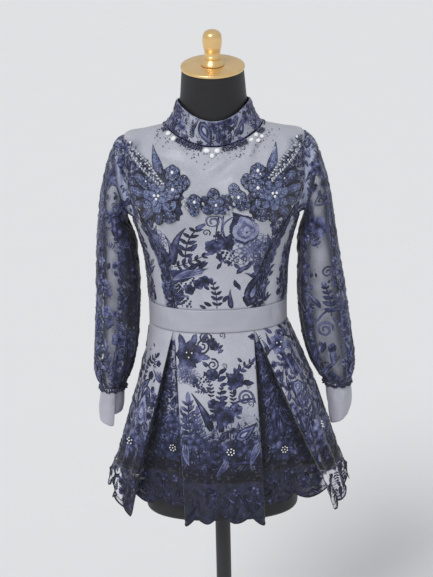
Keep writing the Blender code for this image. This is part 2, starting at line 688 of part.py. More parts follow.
def peplum_half(z, front, hand, columns, start_x):
    """Plan of half of the peplum's front or back, from its centre line to the side seam."""
    middle, half, y_front, y_back, square = peplum_oval(z)
    drop = (WAIST_BOTTOM - z) / (WAIST_BOTTOM - HEM)
    place = ("front_" if front else "back_") + ("left" if hand > 0 else "right")
    at_waist, at_hem = PLEATS[place]
    fold, side_fold, depth, under = [w + (h - w) * drop for w, h in zip(at_waist, at_hem)]
    depth = at_waist[2] + (at_hem[2] - at_waist[2]) * min(drop, PLEAT_SWING) ** PLEAT_OPENING
    inward = 1 if front else -1
    box, back_1, underlay, back_2, side = columns

    points = [peplum_curve(z, start_x + (fold - start_x) * j / box, front) for j in range(box + 1)]
    corner_1 = points[-1] + np.array((-hand * under, inward * depth))
    edge = peplum_curve(z, side_fold, front)
    slope = unit(peplum_curve(z, side_fold, front) - peplum_curve(z, fold, front))
    normal = np.array((-slope[1], slope[0])) * hand * inward
    corner_2 = edge + normal * depth * UNDERLAY_SHARE + slope * under
    points += [points[-1] + (corner_1 - points[-1]) * j / back_1 for j in range(1, back_1 + 1)]
    points += [corner_1 + (corner_2 - corner_1) * j / underlay for j in range(1, underlay + 1)]
    points += [corner_2 + (edge - corner_2) * j / back_2 for j in range(1, back_2 + 1)]
    reach = min(abs(side_fold - middle) / half, 1.0)
    first = asin(reach ** (square / 2))
    last = pi / 2 - SEAM / 2 / max(abs(y_front), abs(y_back))
    y_end = y_front if front else y_back
    for j in range(1, side + 1):
        angle = first + (last - first) * j / side
        points.append(np.array((middle + hand * half * sin(angle) ** (2 / square),
                                y_end * cos(angle) ** (2 / square))))
    return points


def offset_plan(points, depth):
    """The same plan moved inwards by a depth, with mitred corners."""
    moved = []
    for j, point in enumerate(points):
        before = unit(point - points[j - 1]) if j > 0 else None
        after = unit(points[j + 1] - point) if j + 1 < len(points) else None
        before = after if before is None else before
        after = before if after is None else after
        n_before = np.array((-before[1], before[0]))
        n_after = np.array((-after[1], after[0]))
        mitre = unit(n_before + n_after)
        moved.append(point + mitre * depth / max(mitre @ n_before, 0.5))
    return moved


def centre_gap(z, front):
    """Distance from the centre back to where a half of the peplum starts."""
    if front:
        return 0.0
    return ZIP_HALF + SEAM if z > ZIP_END else SEAM / 2


def join_halves(piece, half):
    """A piece's values going round from right to left, from those of its halves."""
    if piece == "front":
        return half(-1)[::-1] + half(1)[1:]
    return half(1)[::-1] if piece == "back_left" else half(-1)


def peplum_row(z, piece, columns):
    """Plan of one piece of the peplum at one height."""
    front = piece == "front"
    gap = centre_gap(z, front)
    start = {-1: FRONT_CENTRE, 1: FRONT_CENTRE} if front else {-1: -gap, 1: gap}
    return join_halves(piece, lambda hand: peplum_half(z, front, hand, columns, start[hand]))


def border_drops(columns):
    """Depth of the lace border at each point of a half, from the centre to the side seam."""
    corners = list(BORDER_DROPS.values())
    drops = [corners[0]]
    for count, start, end in zip(columns, corners, corners[1:]):
        drops += [start + (end - start) * j / count for j in range(1, count + 1)]
    return drops


def lift(plan, z):
    """Plan points at a height, or at a height each."""
    heights = [z] * len(plan) if np.isscalar(z) else z
    return [np.array((p[0], p[1], h)) for p, h in zip(plan, heights)]


def make_peplum():
    """Pleated front and two pleated backs, each with its scalloped lace border below."""
    heights = [WAIST_BOTTOM - (WAIST_BOTTOM - HEM) * share for share in PEPLUM_ROWS]
    for piece in ("front", "back_left", "back_right"):
        rows = list(heights)
        if piece != "front":
            rows = sorted(rows + [ZIP_END + SEAM, ZIP_END - SEAM], reverse=True)
        outer, inner = [], []
        for z in rows:
            plan = peplum_row(z, piece, PEPLUM_COLUMNS)
            outer.append(lift(plan, z))
            inner.append(lift(offset_plan(plan, CLOTH), z))
        wall("peplum_" + piece, "lace_on_satin", outer, inner)

        top = HEM - SEAM
        outer, inner = [], []
        drops = join_halves(piece, lambda hand: border_drops(BORDER_COLUMNS))
        for share in BORDER_ROWS:
            plan = peplum_row(top - max(drops) * share * BORDER_FLARE, piece, BORDER_COLUMNS)
            heights_here = []
            for j, drop in enumerate(drops):
                wave = abs(sin(pi * j / SCALLOP_COLUMNS)) ** SCALLOP_ROUND
                heights_here.append(top - share * (drop + share * SCALLOP_DEPTH * (wave - 0.5)))
            outer.append(lift(plan, heights_here))
            inner.append(lift(offset_plan(plan, LACE), heights_here))
        wall("lace_border_" + piece, "tulle", outer, inner)


# ---------------------------------------------------------------- sleeves and cuffs
def armhole_ring(hand):
    """Edge of the armhole, from the shoulder down the front, up the back, with splits."""
    corners = [(row, pi / 2 - armhole_angle(row, 1)) for row in ARMHOLE_ROWS]
    corners += [(row, pi / 2 + armhole_angle(row, 2)) for row in ARMHOLE_ROWS[-2:0:-1]]
    points = [(body_point(row, hand * angle), body_normal(row, hand * angle))
              for row, angle in corners]
    ring_outer, ring_inner = [], []
    middle = sum(p for p, _ in points) / len(points)
    for i in range(len(points)):
        here, normal = points[i]
        after, after_normal = points[(i + 1) % len(points)]
        for part in range(SLEEVE_SPLIT):
            t = part / SLEEVE_SPLIT
            point = here + (after - here) * t
            out = unit(normal + (after_normal - normal) * t)
            tangent = unit(after - here) if part else unit(after - points[i - 1][0])
            inward = np.cross(out, tangent)
            if inward @ (middle - point) < 0:
                inward = -inward
            point = point + unit(inward) * ARMHOLE_GAP
            ring_outer.append(point)
            ring_inner.append(point - out * SLEEVE_CLOTH)
    return ring_outer, ring_inner


def sleeve_ring(table, place, hand, turns, inset=0.0, square=SLEEVE_SQUARE):
    """A ring of a sleeve. Turns run from the outer side over the front to the inner side."""
    out_x, out_z, in_x, in_z, depth, y_mid, gather = between(table, place)
    outer = np.array((hand * out_x, 0.0, out_z))
    inner = np.array((hand * in_x, 0.0, in_z))
    across = unit(outer - inner)
    half = np.linalg.norm(outer - inner) / 2 - inset
    middle = (outer + inner) / 2 + np.array((0.0, y_mid, 0.0))
    power = 2 / square
    ring = []
    for k, turn in enumerate(turns):
        c, s = cos(turn), sin(turn)
        wave = gather * (1 if k % 2 else -1)
        ring.append(middle + across * (half + wave) * np.sign(c) * abs(c) ** power
                    - np.array((0.0, (depth - inset + wave) * np.sign(s) * abs(s) ** power, 0.0)))
    return ring


def shrink_rings(rings, depth):
    """Rings moved in by a wall's thickness along the surface's own normals."""
    moved = []
    for i, ring in enumerate(rings):
        above = rings[max(i - 1, 0)]
        below = rings[min(i + 1, len(rings) - 1)]
        middle = sum(ring) / len(ring)
        count = len(ring)
        row = []
        for j, point in enumerate(ring):
            along = ring[(j + 1) % count] - ring[j - 1]
            normal = unit(np.cross(along, below[j] - above[j]))
            if i in (0, len(rings) - 1):
                normal[2] = 0.0
                normal = unit(normal)
            if normal @ (point - middle) < 0:
                normal = -normal
            row.append(point - normal * depth)
        moved.append(row)
    return moved


def make_sleeve(word, hand, table, cuff_table):
    """Outer sleeve of tulle, its satin lining, and the cuff."""
    first_outer, first_inner = armhole_ring(hand)
    count = len(first_outer)
    turns = [2 * pi * j / count for j in range(count)]
    rings = [sleeve_ring(table, place, hand, turns) for place in range(len(table))]
    head = []
    for point, turn in zip(first_outer, turns):
        low = (1 - cos(turn)) / 2
        head.append(point + np.array((hand * SLEEVE_HEAD_OUT, 0.0,
                                      UNDERARM_ARCH * low - SHOULDER_DROP * (1 - low))))
    outer = [first_outer, head] + rings
    inner = [first_inner] + shrink_rings(outer, SLEEVE_CLOTH)[1:]
    wall("sleeve_" + word, "tulle", outer, inner, closed=True)

    lining_turns = [2 * pi * j / LINING_AROUND for j in range(LINING_AROUND)]
    flat = [row[:6] + (0.0,) for row in table]
    lining = [sleeve_ring(flat, place, hand, lining_turns, lookup(LINING_INSET, place),
                          LINING_SQUARE) for place in LINING_RINGS]
    wall("sleeve_lining_" + word, "satin", lining, shrink_rings(lining, LINING_CLOTH), closed=True)

    outer, inner = [], []
    start = CUFF_LAP_START[word]
    for i, (z, out_x, in_x, depth, y_mid) in enumerate(cuff_table):
        down = i / (len(cuff_table) - 1)
        rows = ([], [])
        for j in range(CUFF_AROUND + 1):
            turned_by = (2 * pi + CUFF_LAP) * j / CUFF_AROUND
            turn = start + turned_by
            lap = max(0.0, min(1.0, (turned_by - (2 * pi - CUFF_LAP)) / CUFF_LAP))
            lift_out = CUFF_LAP_LIFT * lap * lap * (3 - 2 * lap) * (1 + CUFF_LAP_FLARE * down)
            tip = CUFF_TIP * max(0.0, (turned_by - pi) / (pi + CUFF_LAP)) ** 2 * down
            for row, thick in zip(rows, (0.0, CUFF_CLOTH)):
                reach_x = (out_x - in_x) / 2 + lift_out - thick
                reach_y = depth + lift_out - thick
                row.append(np.array((hand * ((out_x + in_x) / 2 + reach_x * cos(turn)),
                                     y_mid - reach_y * sin(turn), z - tip)))
        outer.append(rows[0])
        inner.append(rows[1])
    wall("cuff_" + word, "satin", outer, inner)


# ---------------------------------------------------------------- applique and crystals
def outline_radius(outline, angle):
    """Radius of an outline at an angle in degrees, on a smooth closed curve."""
    keys = [row[0] for row in outline] + [outline[0][0] + 360]
    count = len(outline)
    place = float(np.interp(angle % 360, keys, range(count + 1)))
    wrapped = [[outline[(i - 1) % count][1]] for i in range(count + 3)]
    return float(between(wrapped, place + 1)[0])


def make_applique(name, middle, outline, hand, lift_off=APPLIQUE_LIFT, sides=32, lobes=0.07):
    """A padded flower patch that follows the bust, raised in the middle of its petals."""
    levels = ((0.0, 1.0), (0.35, 1.0), (0.70, 0.92), (1.0, 0.35))
    top, under = [], []
    for share, rise in levels[1:]:
        ring_top, ring_under = [], []
        for j in range(sides):
            turn = 2 * pi * j / sides
            radius = share * outline_radius(outline, 360 * j / sides)
            radius *= 1 + lobes * share * (1 if j % 2 else -1)
            row, angle = front_place(hand * (middle[0] + radius * cos(turn)),
                                     middle[1] + radius * sin(turn))
            base, normal = body_point(row, angle), body_normal(row, angle)
            ring_top.append(base + normal * (lift_off + APPLIQUE_EDGE + APPLIQUE_PETALS * rise))
            ring_under.append(base + normal * lift_off)
        top.append(ring_top)
        under.append(ring_under)
    row, angle = front_place(hand * middle[0], middle[1])
    base, normal = body_point(row, angle), body_normal(row, angle)
    points = [base + normal * (lift_off + APPLIQUE), base + normal * lift_off]
    faces = []
    for rings, centre in ((top, 0), (under, 1)):
        start = len(points)
        for ring in rings:
            points += ring
        for j in range(sides):
            k = (j + 1) % sides
            faces.append((centre, start + j, start + k))
            for i in range(len(rings) - 1):
                a, b = start + i * sides, start + (i + 1) * sides
                faces.append((a + j, b + j, b + k, a + k))
    rim_top = 2 + (len(top) - 1) * sides
    rim_under = rim_top + len(top) * sides
    for j in range(sides):
        k = (j + 1) % sides
        faces.append((rim_top + j, rim_under + j, rim_under + k, rim_top + k))
    new_object(name, "applique", points, faces)


def make_crystals():
    """Large cut stones along the neck seam."""
    for number, (degrees, below, along, across) in enumerate(CRYSTALS, 1):
        angle = radians(degrees)
        base, normal = body_point(below, angle), body_normal(below, angle)
        side = unit(body_point(below, angle + 0.02) - body_point(below, angle - 0.02))
        up = np.cross(normal, side)
        rings = []
        for scale, height in ((0.92, 0.0), (1.0, 0.25), (0.86, 0.65), (0.45, 1.0)):
            ring = []
            for j in range(6):
                turn = 2 * pi * (j + 0.5) / 6
                ring.append(base + normal * (APPLIQUE_LIFT + CRYSTAL_HEIGHT * height)
                            + side * along * scale * cos(turn) + up * across * scale * sin(turn))
            rings.append(ring)
        stack("crystal_%d" % number, "crystal", rings, smooth_angle=10)


# ---------------------------------------------------------------- the whole object
for old in list(bpy.data.objects):
    bpy.data.objects.remove(old, do_unlink=True)

MADE_MATERIALS = {}
for material_name, (colour, roughness, metallic) in MATERIALS.items():
    made_material = bpy.data.materials.new(material_name)
    made_material.use_nodes = True
    shader = made_material.node_tree.nodes["Principled BSDF"]
    shader.inputs["Base Color"].default_value = (*colour, 1.0)
    shader.inputs["Roughness"].default_value = roughness
    shader.inputs["Metallic"].default_value = metallic
    MADE_MATERIALS[material_name] = made_material

make_form()
make_bodice()
make_collar()
make_zip()
make_waistband()
make_peplum()
make_sleeve("right", -1, RIGHT_SLEEVE, RIGHT_CUFF)
make_sleeve("left", 1, LEFT_SLEEVE, LEFT_CUFF)
make_applique("applique_right", CLUSTER_MIDDLE, CLUSTER_OUTLINE, -1)
make_applique("applique_left", CLUSTER_MIDDLE, CLUSTER_OUTLINE, 1)
make_applique("applique_centre", CHAIN_MIDDLE, CHAIN_OUTLINE, 1, CHAIN_LIFT, sides=24)
make_crystals()
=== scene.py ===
from math import asin, cos, pi, radians, sin

import bpy
import numpy as np
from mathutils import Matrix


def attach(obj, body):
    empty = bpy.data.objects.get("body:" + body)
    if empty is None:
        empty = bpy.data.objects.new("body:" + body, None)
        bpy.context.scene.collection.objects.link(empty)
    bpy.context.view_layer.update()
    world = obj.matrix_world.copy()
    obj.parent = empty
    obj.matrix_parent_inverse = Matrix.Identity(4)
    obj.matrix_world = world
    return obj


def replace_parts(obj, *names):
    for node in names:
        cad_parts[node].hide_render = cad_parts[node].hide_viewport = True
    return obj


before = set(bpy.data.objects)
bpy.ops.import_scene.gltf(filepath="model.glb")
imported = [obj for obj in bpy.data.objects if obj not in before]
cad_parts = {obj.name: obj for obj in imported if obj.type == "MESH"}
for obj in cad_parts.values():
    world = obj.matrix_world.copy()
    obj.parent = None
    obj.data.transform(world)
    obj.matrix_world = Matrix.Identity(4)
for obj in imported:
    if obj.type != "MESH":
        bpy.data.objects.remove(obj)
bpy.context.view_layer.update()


# ---- dress form
# The display torso the blouse hangs on: a neck and a body with no limbs, moulded in
# fibreglass and sprayed with black lacquer. Its neck shows, and its hips from below.
FORM_RINGS = (
    # half, z_side, y_front, z_front, y_back, z_back, square
    (0.0605, 1.486, -0.0745, 1.473, 0.0435, 1.499, 2.0),  # under the cap
    (0.063, 1.457, -0.069, 1.443, 0.0475, 1.468, 2.0),  # neck
    (0.0655, 1.428, -0.0645, 1.408, 0.05, 1.432, 2.0),  # neck inside the collar
    (0.07, 1.403, -0.064, 1.376, 0.0515, 1.403, 2.0),  # root of the neck
    (0.082, 1.383, -0.067, 1.352, 0.055, 1.382, 2.05),  # slope to the shoulder
    (0.0985, 1.37, -0.075, 1.333, 0.062, 1.366, 2.1),
    (0.137, 1.3615, -0.0955, 1.304, 0.0795, 1.346, 2.2),  # middle of the shoulder
    (0.17, 1.3515, -0.11, 1.276, 0.093, 1.32, 2.4),  # shoulder point
    (0.176, 1.317, -0.117, 1.258, 0.0995, 1.291, 2.6),  # arm plate
    (0.1765, 1.26, -0.1205, 1.234, 0.103, 1.248, 2.6),
    (0.16, 1.193, -0.12, 1.19, 0.103, 1.193, 2.3),  # underarm
    (0.145, 1.14, -0.114, 1.14, 0.0965, 1.14, 2.2),  # ribs
    (0.136, 1.085, -0.1045, 1.085, 0.0885, 1.085, 2.15),
    (0.131, 1.0, -0.095, 1.0, 0.0815, 1.0, 2.1),  # waist
    (0.141, 0.92, -0.099, 0.92, 0.09, 0.92, 2.2),  # high hip
    (0.158, 0.82, -0.101, 0.82, 0.105, 0.82, 2.2),  # hip
    (0.164, 0.7, -0.098, 0.7, 0.101, 0.7, 2.2),  # thigh
    (0.16, 0.57, -0.096, 0.57, 0.096, 0.57, 2.3),  # foot of the form
)
FORM_FOOT_ROUND = 0.01
FORM_STEPS, FORM_AROUND = 84, 96
BUST_X, BUST_Z = 0.083, 1.238         # cups of the form and of the bodice cut to match
BUST_SPREAD_X, BUST_SPREAD_Z = 0.048, 0.042
BUST_FULLNESS = 0.026
BLACK_LACQUER = "#1f1f20"


def tone_of(code):
    """An sRGB hex colour as the linear colour that a shader takes."""
    parts = [int(code[i:i + 2], 16) / 255 for i in (1, 3, 5)]
    return (*[p / 12.92 if p <= 0.04045 else ((p + 0.055) / 1.055) ** 2.4 for p in parts], 1.0)


def add(tree, kind, inputs=None, out=0, **settings):
    """Adds a shader node with its settings and links, and gives the output asked for. An input is a
    value, another output or a hex colour."""
    made = tree.nodes.new("ShaderNode" + kind)
    if kind == "Mix":                                        # of two colours, its third output
        out, made.data_type = 2, "RGBA"
    for name, value in settings.items():
        setattr(made, name, value)
    for name, value in (inputs or {}).items():
        if isinstance(value, bpy.types.NodeSocket):
            tree.links.new(value, made.inputs[name])
        else:
            made.inputs[name].default_value = tone_of(value) if isinstance(value, str) else value
    return made.outputs[out]


def plug(shader, **outputs):
    """Links outputs into a shader's sockets, each by its name."""
    for socket, output in outputs.items():
        shader.id_data.links.new(output, shader.inputs[socket.replace("_", " ")])


def new_finish(name, **constants):
    """A material with its principled shader, whose plain numbers are set by socket name."""
    finish = bpy.data.materials.new(name)
    finish.use_nodes = True
    shader = finish.node_tree.nodes["Principled BSDF"]
    for socket, value in constants.items():
        shader.inputs[socket.replace("_", " ")].default_value = value
    return finish, finish.node_tree, shader


def between(rows, place):
    """The row at a fractional place in a table, on a smooth curve through its rows."""
    table = np.asarray(rows, dtype=float)
    last = len(table) - 1
    place = min(max(place, 0.0), float(last))
    low = min(int(place), last - 1)
    t = place - low
    start, end = table[low], table[low + 1]
    slope_in = (end - table[low - 1]) / 2 if low > 0 else end - start
    slope_out = (table[low + 2] - start) / 2 if low + 2 <= last else end - start
    return ((2 * t ** 3 - 3 * t ** 2 + 1) * start + (t ** 3 - 2 * t ** 2 + t) * slope_in
            + (3 * t ** 2 - 2 * t ** 3) * end + (t ** 3 - t ** 2) * slope_out)


def oval(ring, angles):
    """Points of a ring, at angles from the front (-Y) towards +X."""
    half, z_side, y_front, z_front, y_back, z_back, square = ring
    c, s = np.cos(angles), np.sin(angles)
    y_end, z_end = np.where(c >= 0, y_front, y_back), np.where(c >= 0, z_front, z_back)
    return np.stack((half * np.sign(s) * np.abs(s) ** (2 / square),
                     y_end * np.abs(c) ** (2 / square),
                     z_side + (z_end - z_side) * c * c), -1)


def with_bust(points, angles):
    """Moves front points out over the bust cups."""
    front = np.clip(np.cos(angles) / 0.5, 0.0, 1.0)
    fade = front * front * (3 - 2 * front)
    rise = np.exp(-((points[..., 2] - BUST_Z) / BUST_SPREAD_Z) ** 2 / 2)
    cups = sum(np.exp(-((points[..., 0] - x) / BUST_SPREAD_X) ** 2 / 2) for x in (-BUST_X, BUST_X))
    moved = points.copy()
    moved[..., 1] -= BUST_FULLNESS * fade * rise * cups
    return moved


def directions(grid, closed=False):
    """Outward directions of a grid whose columns run from left to right seen from outside."""
    if closed:
        along = np.roll(grid, -1, 1) - np.roll(grid, 1, 1)
    else:
        along = np.gradient(grid, axis=1)
    normals = np.cross(along, -np.gradient(grid, axis=0))
    return normals / np.maximum(np.linalg.norm(normals, axis=2, keepdims=True), 1e-12)


def measured(grid):
    """How far along and down the cloth each point lies, in metres."""
    across = np.linalg.norm(np.diff(grid, axis=1), axis=2)
    down = np.linalg.norm(np.diff(grid, axis=0), axis=2)
    u = np.concatenate((np.zeros((len(grid), 1)), np.cumsum(across, 1)), 1)
    u -= u[:, u.shape[1] // 2][:, None]
    v = np.concatenate((np.zeros((1, grid.shape[1])), np.cumsum(down, 0)), 0)
    return np.stack((u, v), -1)


def grid_faces(rows, columns, closed, offset=0):
    """Quads between neighbouring rows and columns of a grid, facing out."""
    r, c = np.meshgrid(np.arange(rows - 1), np.arange(columns if closed else columns - 1), indexing="ij")
    k = (c + 1) % columns
    quads = np.stack((r * columns + c, (r + 1) * columns + c, (r + 1) * columns + k, r * columns + k), -1)
    return quads.reshape(-1, 4) + offset


def new_piece(name, points, faces, finish, uv=None, values=None):
    """A smooth mesh piece, with its cloth measures and its named values at each point."""
    mesh = bpy.data.meshes.new(name)
    mesh.from_pydata(np.asarray(points).tolist(), [], [tuple(map(int, face)) for face in faces])
    mesh.shade_smooth()
    corners = np.empty(len(mesh.loops), int)
    mesh.loops.foreach_get("vertex_index", corners)
    if uv is not None:
        mesh.uv_layers.new(name="cloth").data.foreach_set("uv", np.asarray(uv)[corners].ravel())
    for key, numbers in (values or {}).items():
        mesh.attributes.new(key, "FLOAT", "POINT").data.foreach_set(
            "value", np.asarray(numbers, dtype=np.float32).ravel())
    mesh.materials.append(finish)
    made = bpy.data.objects.new(name, mesh)
    bpy.context.scene.collection.objects.link(made)
    return made


def new_cloth(name, outer, finish, thick=0.0, closed=False, values=None):
    """Cloth through a grid of points: one layer, or a wall of a thickness with its edges shut."""
    rows, columns = outer.shape[:2]
    points, faces = outer.reshape(-1, 3), [*grid_faces(rows, columns, closed)]
    uv, values = measured(outer).reshape(-1, 2), {k: v.ravel() for k, v in (values or {}).items()}
    if thick:
        inner = outer - directions(outer, closed) * thick
        offset = rows * columns
        faces += [face[::-1] for face in grid_faces(rows, columns, closed, offset)]
        for j in range(columns if closed else columns - 1):
            k, low = (j + 1) % columns, (rows - 1) * columns
            faces += [(j, k, offset + k, offset + j), (low + k, low + j, offset + low + j, offset + low + k)]
        for i in range(0 if closed else rows - 1):
            a, b = i * columns, (i + 1) * columns
            faces.append((b, a, offset + a, offset + b))
            a, b = a + columns - 1, b + columns - 1
            faces.append((a, b, offset + b, offset + a))
        points = np.concatenate((points, inner.reshape(-1, 3)))
        uv = np.concatenate((uv, uv))
        values = {k: np.concatenate((v, v)) for k, v in values.items()}
    return new_piece(name, points, faces, finish, uv, values)


def fibreglass_lacquer():
    """Sprayed lacquer on fibreglass: nearly black and half matt, with a faint orange peel."""
    finish, tree, shader = new_finish("sprayed_fibreglass", Roughness=0.5, Specular_IOR_Level=0.35)
    place = add(tree, "TexCoord", out="Object")
    peel = add(tree, "TexNoise", {"Vector": place, "Scale": 420.0, "Detail": 3.0})  # 2.4 mm
    dust = add(tree, "TexNoise", {"Vector": place, "Scale": 35.0, "Detail": 4.0})
    shade = add(tree, "Mix", {0: dust, 6: BLACK_LACQUER, 7: "#28282a"})
    gloss = add(tree, "MapRange", {0: dust, 3: 0.42, 4: 0.58})
    bump = add(tree, "Bump", {"Height": peel, "Strength": 0.12, "Distance": 0.0004})
    plug(shader, Base_Color=shade, Roughness=gloss, Normal=bump)
    return finish


def form_surface():
    """The form's surface from under the cap to its rounded foot."""
    angles = np.linspace(-pi, pi, FORM_AROUND, endpoint=False)
    grid = [with_bust(oval(between(FORM_RINGS, place), angles), angles)
            for place in np.arange(FORM_STEPS + 1) * (len(FORM_RINGS) - 1) / FORM_STEPS]
    foot_z, foot_half = FORM_RINGS[-1][1], FORM_RINGS[-1][0]
    edge = grid[-1].copy()
    for turn in np.linspace(0, pi / 2, 7)[1:]:
        shrunk = 1 - FORM_FOOT_ROUND * (1 - cos(turn)) / foot_half
        ring = edge * shrunk
        ring[:, 2] = foot_z - FORM_FOOT_ROUND * sin(turn)
        grid.append(ring)
    grid.append(edge * 0.02 + np.array((0, 0, (foot_z - FORM_FOOT_ROUND) - foot_z * 0.02)))
    return np.array(grid)


form_finish = fibreglass_lacquer()
form = new_cloth("form_body", form_surface(), form_finish, closed=True)
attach(form, "root")
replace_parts(form, "form_torso")


# ---- neck cap and finial
# A turned disc and a turned knob that close the form's neck, screwed on from above and
# finished in gold-coloured lacquer. They lean forward with the neck.
CAP_RADIUS = 0.0625
CAP_THICKNESS = 0.0065
CAP_TILT = radians(13)
CAP_SEAT = (0.0, -0.016, 1.4863)
SEAM = 0.0003
FINIAL_PROFILE = (
    # radius, height
    (0.0205, 0.0), (0.0225, 0.0006), (0.0228, 0.0022), (0.0212, 0.0052), (0.0195, 0.0075), (0.0163, 0.0112),
    (0.016, 0.0128), (0.0172, 0.0145), (0.0175, 0.0165), (0.017, 0.0185), (0.0155, 0.0212), (0.0158, 0.0275),
    (0.018, 0.037), (0.019, 0.047), (0.0183, 0.057), (0.015, 0.0645), (0.0085, 0.0685), (0.0002, 0.0697),
)


def gold_lacquer():
    """Gold lacquer over turned metal: warm and smooth, with faint turning rings and a soft gloss."""
    finish, tree, shader = new_finish("gold_lacquered_metal", Metallic=0.7, Roughness=0.34,
                                      Coat_Weight=0.35, Coat_Roughness=0.18)
    place = add(tree, "TexCoord", out="Object")
    cloudy = add(tree, "TexNoise", {"Vector": place, "Scale": 60.0, "Detail": 4.0})
    shade = add(tree, "Mix", {0: cloudy, 6: "#e6bb76", 7: "#f6d79c"})
    gloss = add(tree, "MapRange", {0: cloudy, 3: 0.24, 4: 0.36})
    rings = add(tree, "TexWave", {"Vector": place, "Scale": 160.0, "Distortion": 0.6},  # 2 mm
                bands_direction="Z", out="Fac")
    bump = add(tree, "Bump", {"Height": rings, "Strength": 0.05, "Distance": 0.0003})
    plug(shader, Base_Color=shade, Roughness=gloss, Normal=bump)
    return finish


def turned(name, profile, finish, seat, tilt=0.0, sides=96):
    """A piece turned from (radius, height) steps on an axis that leans forward by the tilt."""
    turns = np.linspace(0, 2 * pi, sides, endpoint=False)
    grid = []
    for radius, height in profile[::-1]:
        x, y = radius * np.sin(turns), -radius * np.cos(turns)
        grid.append(np.stack((seat[0] + x, seat[1] + y * cos(tilt) - height * sin(tilt),
                              seat[2] + y * sin(tilt) + height * cos(tilt)), -1))
    return new_cloth(name, np.array(grid), finish, closed=True)


gilt = gold_lacquer()
cap_profile = [(0.0002, 0.0), (CAP_RADIUS - 0.0015, 0.0), (CAP_RADIUS - 0.0003, 0.0005),
               (CAP_RADIUS, 0.0014), (CAP_RADIUS, CAP_THICKNESS - 0.0026),
               (CAP_RADIUS - 0.0006, CAP_THICKNESS - 0.0014), (CAP_RADIUS - 0.0022, CAP_THICKNESS - 0.0006),
               (CAP_RADIUS * 0.8, CAP_THICKNESS - 0.0002), (CAP_RADIUS * 0.5, CAP_THICKNESS),
               (0.0002, CAP_THICKNESS)]
cap = turned("neck_cap", cap_profile, gilt, CAP_SEAT, CAP_TILT)
lift = CAP_THICKNESS + SEAM
finial_seat = (0.0, CAP_SEAT[1] - lift * sin(CAP_TILT), CAP_SEAT[2] + lift * cos(CAP_TILT))
smooth_profile = [tuple(between(FINIAL_PROFILE, i / 3)) for i in range(3 * (len(FINIAL_PROFILE) - 1) + 1)]
finial = turned("cap_finial", [(0.0002, 0.0)] + smooth_profile, gilt, finial_seat, CAP_TILT)
for piece, node in ((cap, "form_cap"), (finial, "form_finial")):
    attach(piece, "root")
    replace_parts(piece, node)


# ---- pole and base
# A steel tube with a flange under the form and a heavy round foot, both powder coated in
# black. They stay the solids they are and take their finish here.
def powder_coat():
    """Powder coat on steel: black and low in gloss, with a fine sandy grain."""
    finish, tree, shader = new_finish("powder_coated_steel", Roughness=0.5, Metallic=0.0)
    place = add(tree, "TexCoord", out="Object")
    grain = add(tree, "TexNoise", {"Vector": place, "Scale": 900.0, "Detail": 2.0})  # 1.1 mm
    shade = add(tree, "Mix", {0: grain, 6: "#1d1d1f", 7: "#2c2c2f"})
    bump = add(tree, "Bump", {"Height": grain, "Strength": 0.25, "Distance": 0.0003})
    plug(shader, Base_Color=shade, Normal=bump)
    return finish


stand_finish = powder_coat()
for node in ("form_pole", "form_base"):
    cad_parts[node].data.materials.clear()
    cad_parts[node].data.materials.append(stand_finish)


# ---- bodice
# Five panels of silver-lavender satin with embroidered tulle laid over and sewn in with
# them: centre front, two side fronts, two backs. The front cups follow the form's, and the
# plain upper chest drags into soft creases that run up to the neck seam.
CLOTH = 0.0014
WAIST_TOP, WAIST_BOTTOM = 1.0213, 0.9727
WAIST_HALF, WAIST_FRONT, WAIST_BACK, WAIST_SQUARE = 0.1405, -0.104, 0.0905, 2.1
ZIP_HALF = 0.003
BODY_RINGS = (
    # half, z_side, y_front, z_front, y_back, z_back, square
    (0.0966, 1.3755, -0.08, 1.342, 0.0665, 1.3735, 2.1),  # neck seam
    (0.139, 1.367, -0.101, 1.31, 0.0845, 1.352, 2.2),  # middle of the shoulder
    (0.1765, 1.3575, -0.116, 1.28, 0.0985, 1.325, 2.5),  # shoulder point
    (0.1825, 1.32, -0.1225, 1.262, 0.105, 1.295, 2.6),  # upper armhole
    (0.183, 1.262, -0.1265, 1.237, 0.109, 1.25, 2.6),  # middle of the armhole
    (0.1668, 1.193, -0.126, 1.19, 0.109, 1.193, 2.35),  # underarm
    (0.152, 1.14, -0.12, 1.14, 0.1025, 1.14, 2.2),  # ribs
    (0.144, 1.09, -0.111, 1.09, 0.0955, 1.09, 2.15),  # lower ribs
    (WAIST_HALF, WAIST_TOP, WAIST_FRONT, WAIST_TOP, WAIST_BACK, WAIST_TOP, WAIST_SQUARE),
)
PRINCESS_ROW, PRINCESS_STEP, WAIST_ROW = 4.4, 0.04, 8.0
ARMHOLE = (
    # row, front, back: half of the opening in degrees
    (2.0, 0.0, 0.0), (2.25, 13.0, 11.0), (2.7, 18.0, 15.0), (3.3, 20.0, 17.0), (3.9, 23.0, 19.0),
    (4.4, 27.0, 21.0), (4.8, 23.0, 19.0), (5.0, 0.0, 0.0),
)
PRINCESS = (
    # row, right, left: distance from the centre front
    (4.44, 0.154, 0.154), (4.8, 0.142, 0.14), (5.5, 0.1215, 0.115), (6.1, 0.108, 0.099), (6.8, 0.096, 0.085),
    (7.4, 0.0905, 0.077), (8.0, 0.0875, 0.073),
)
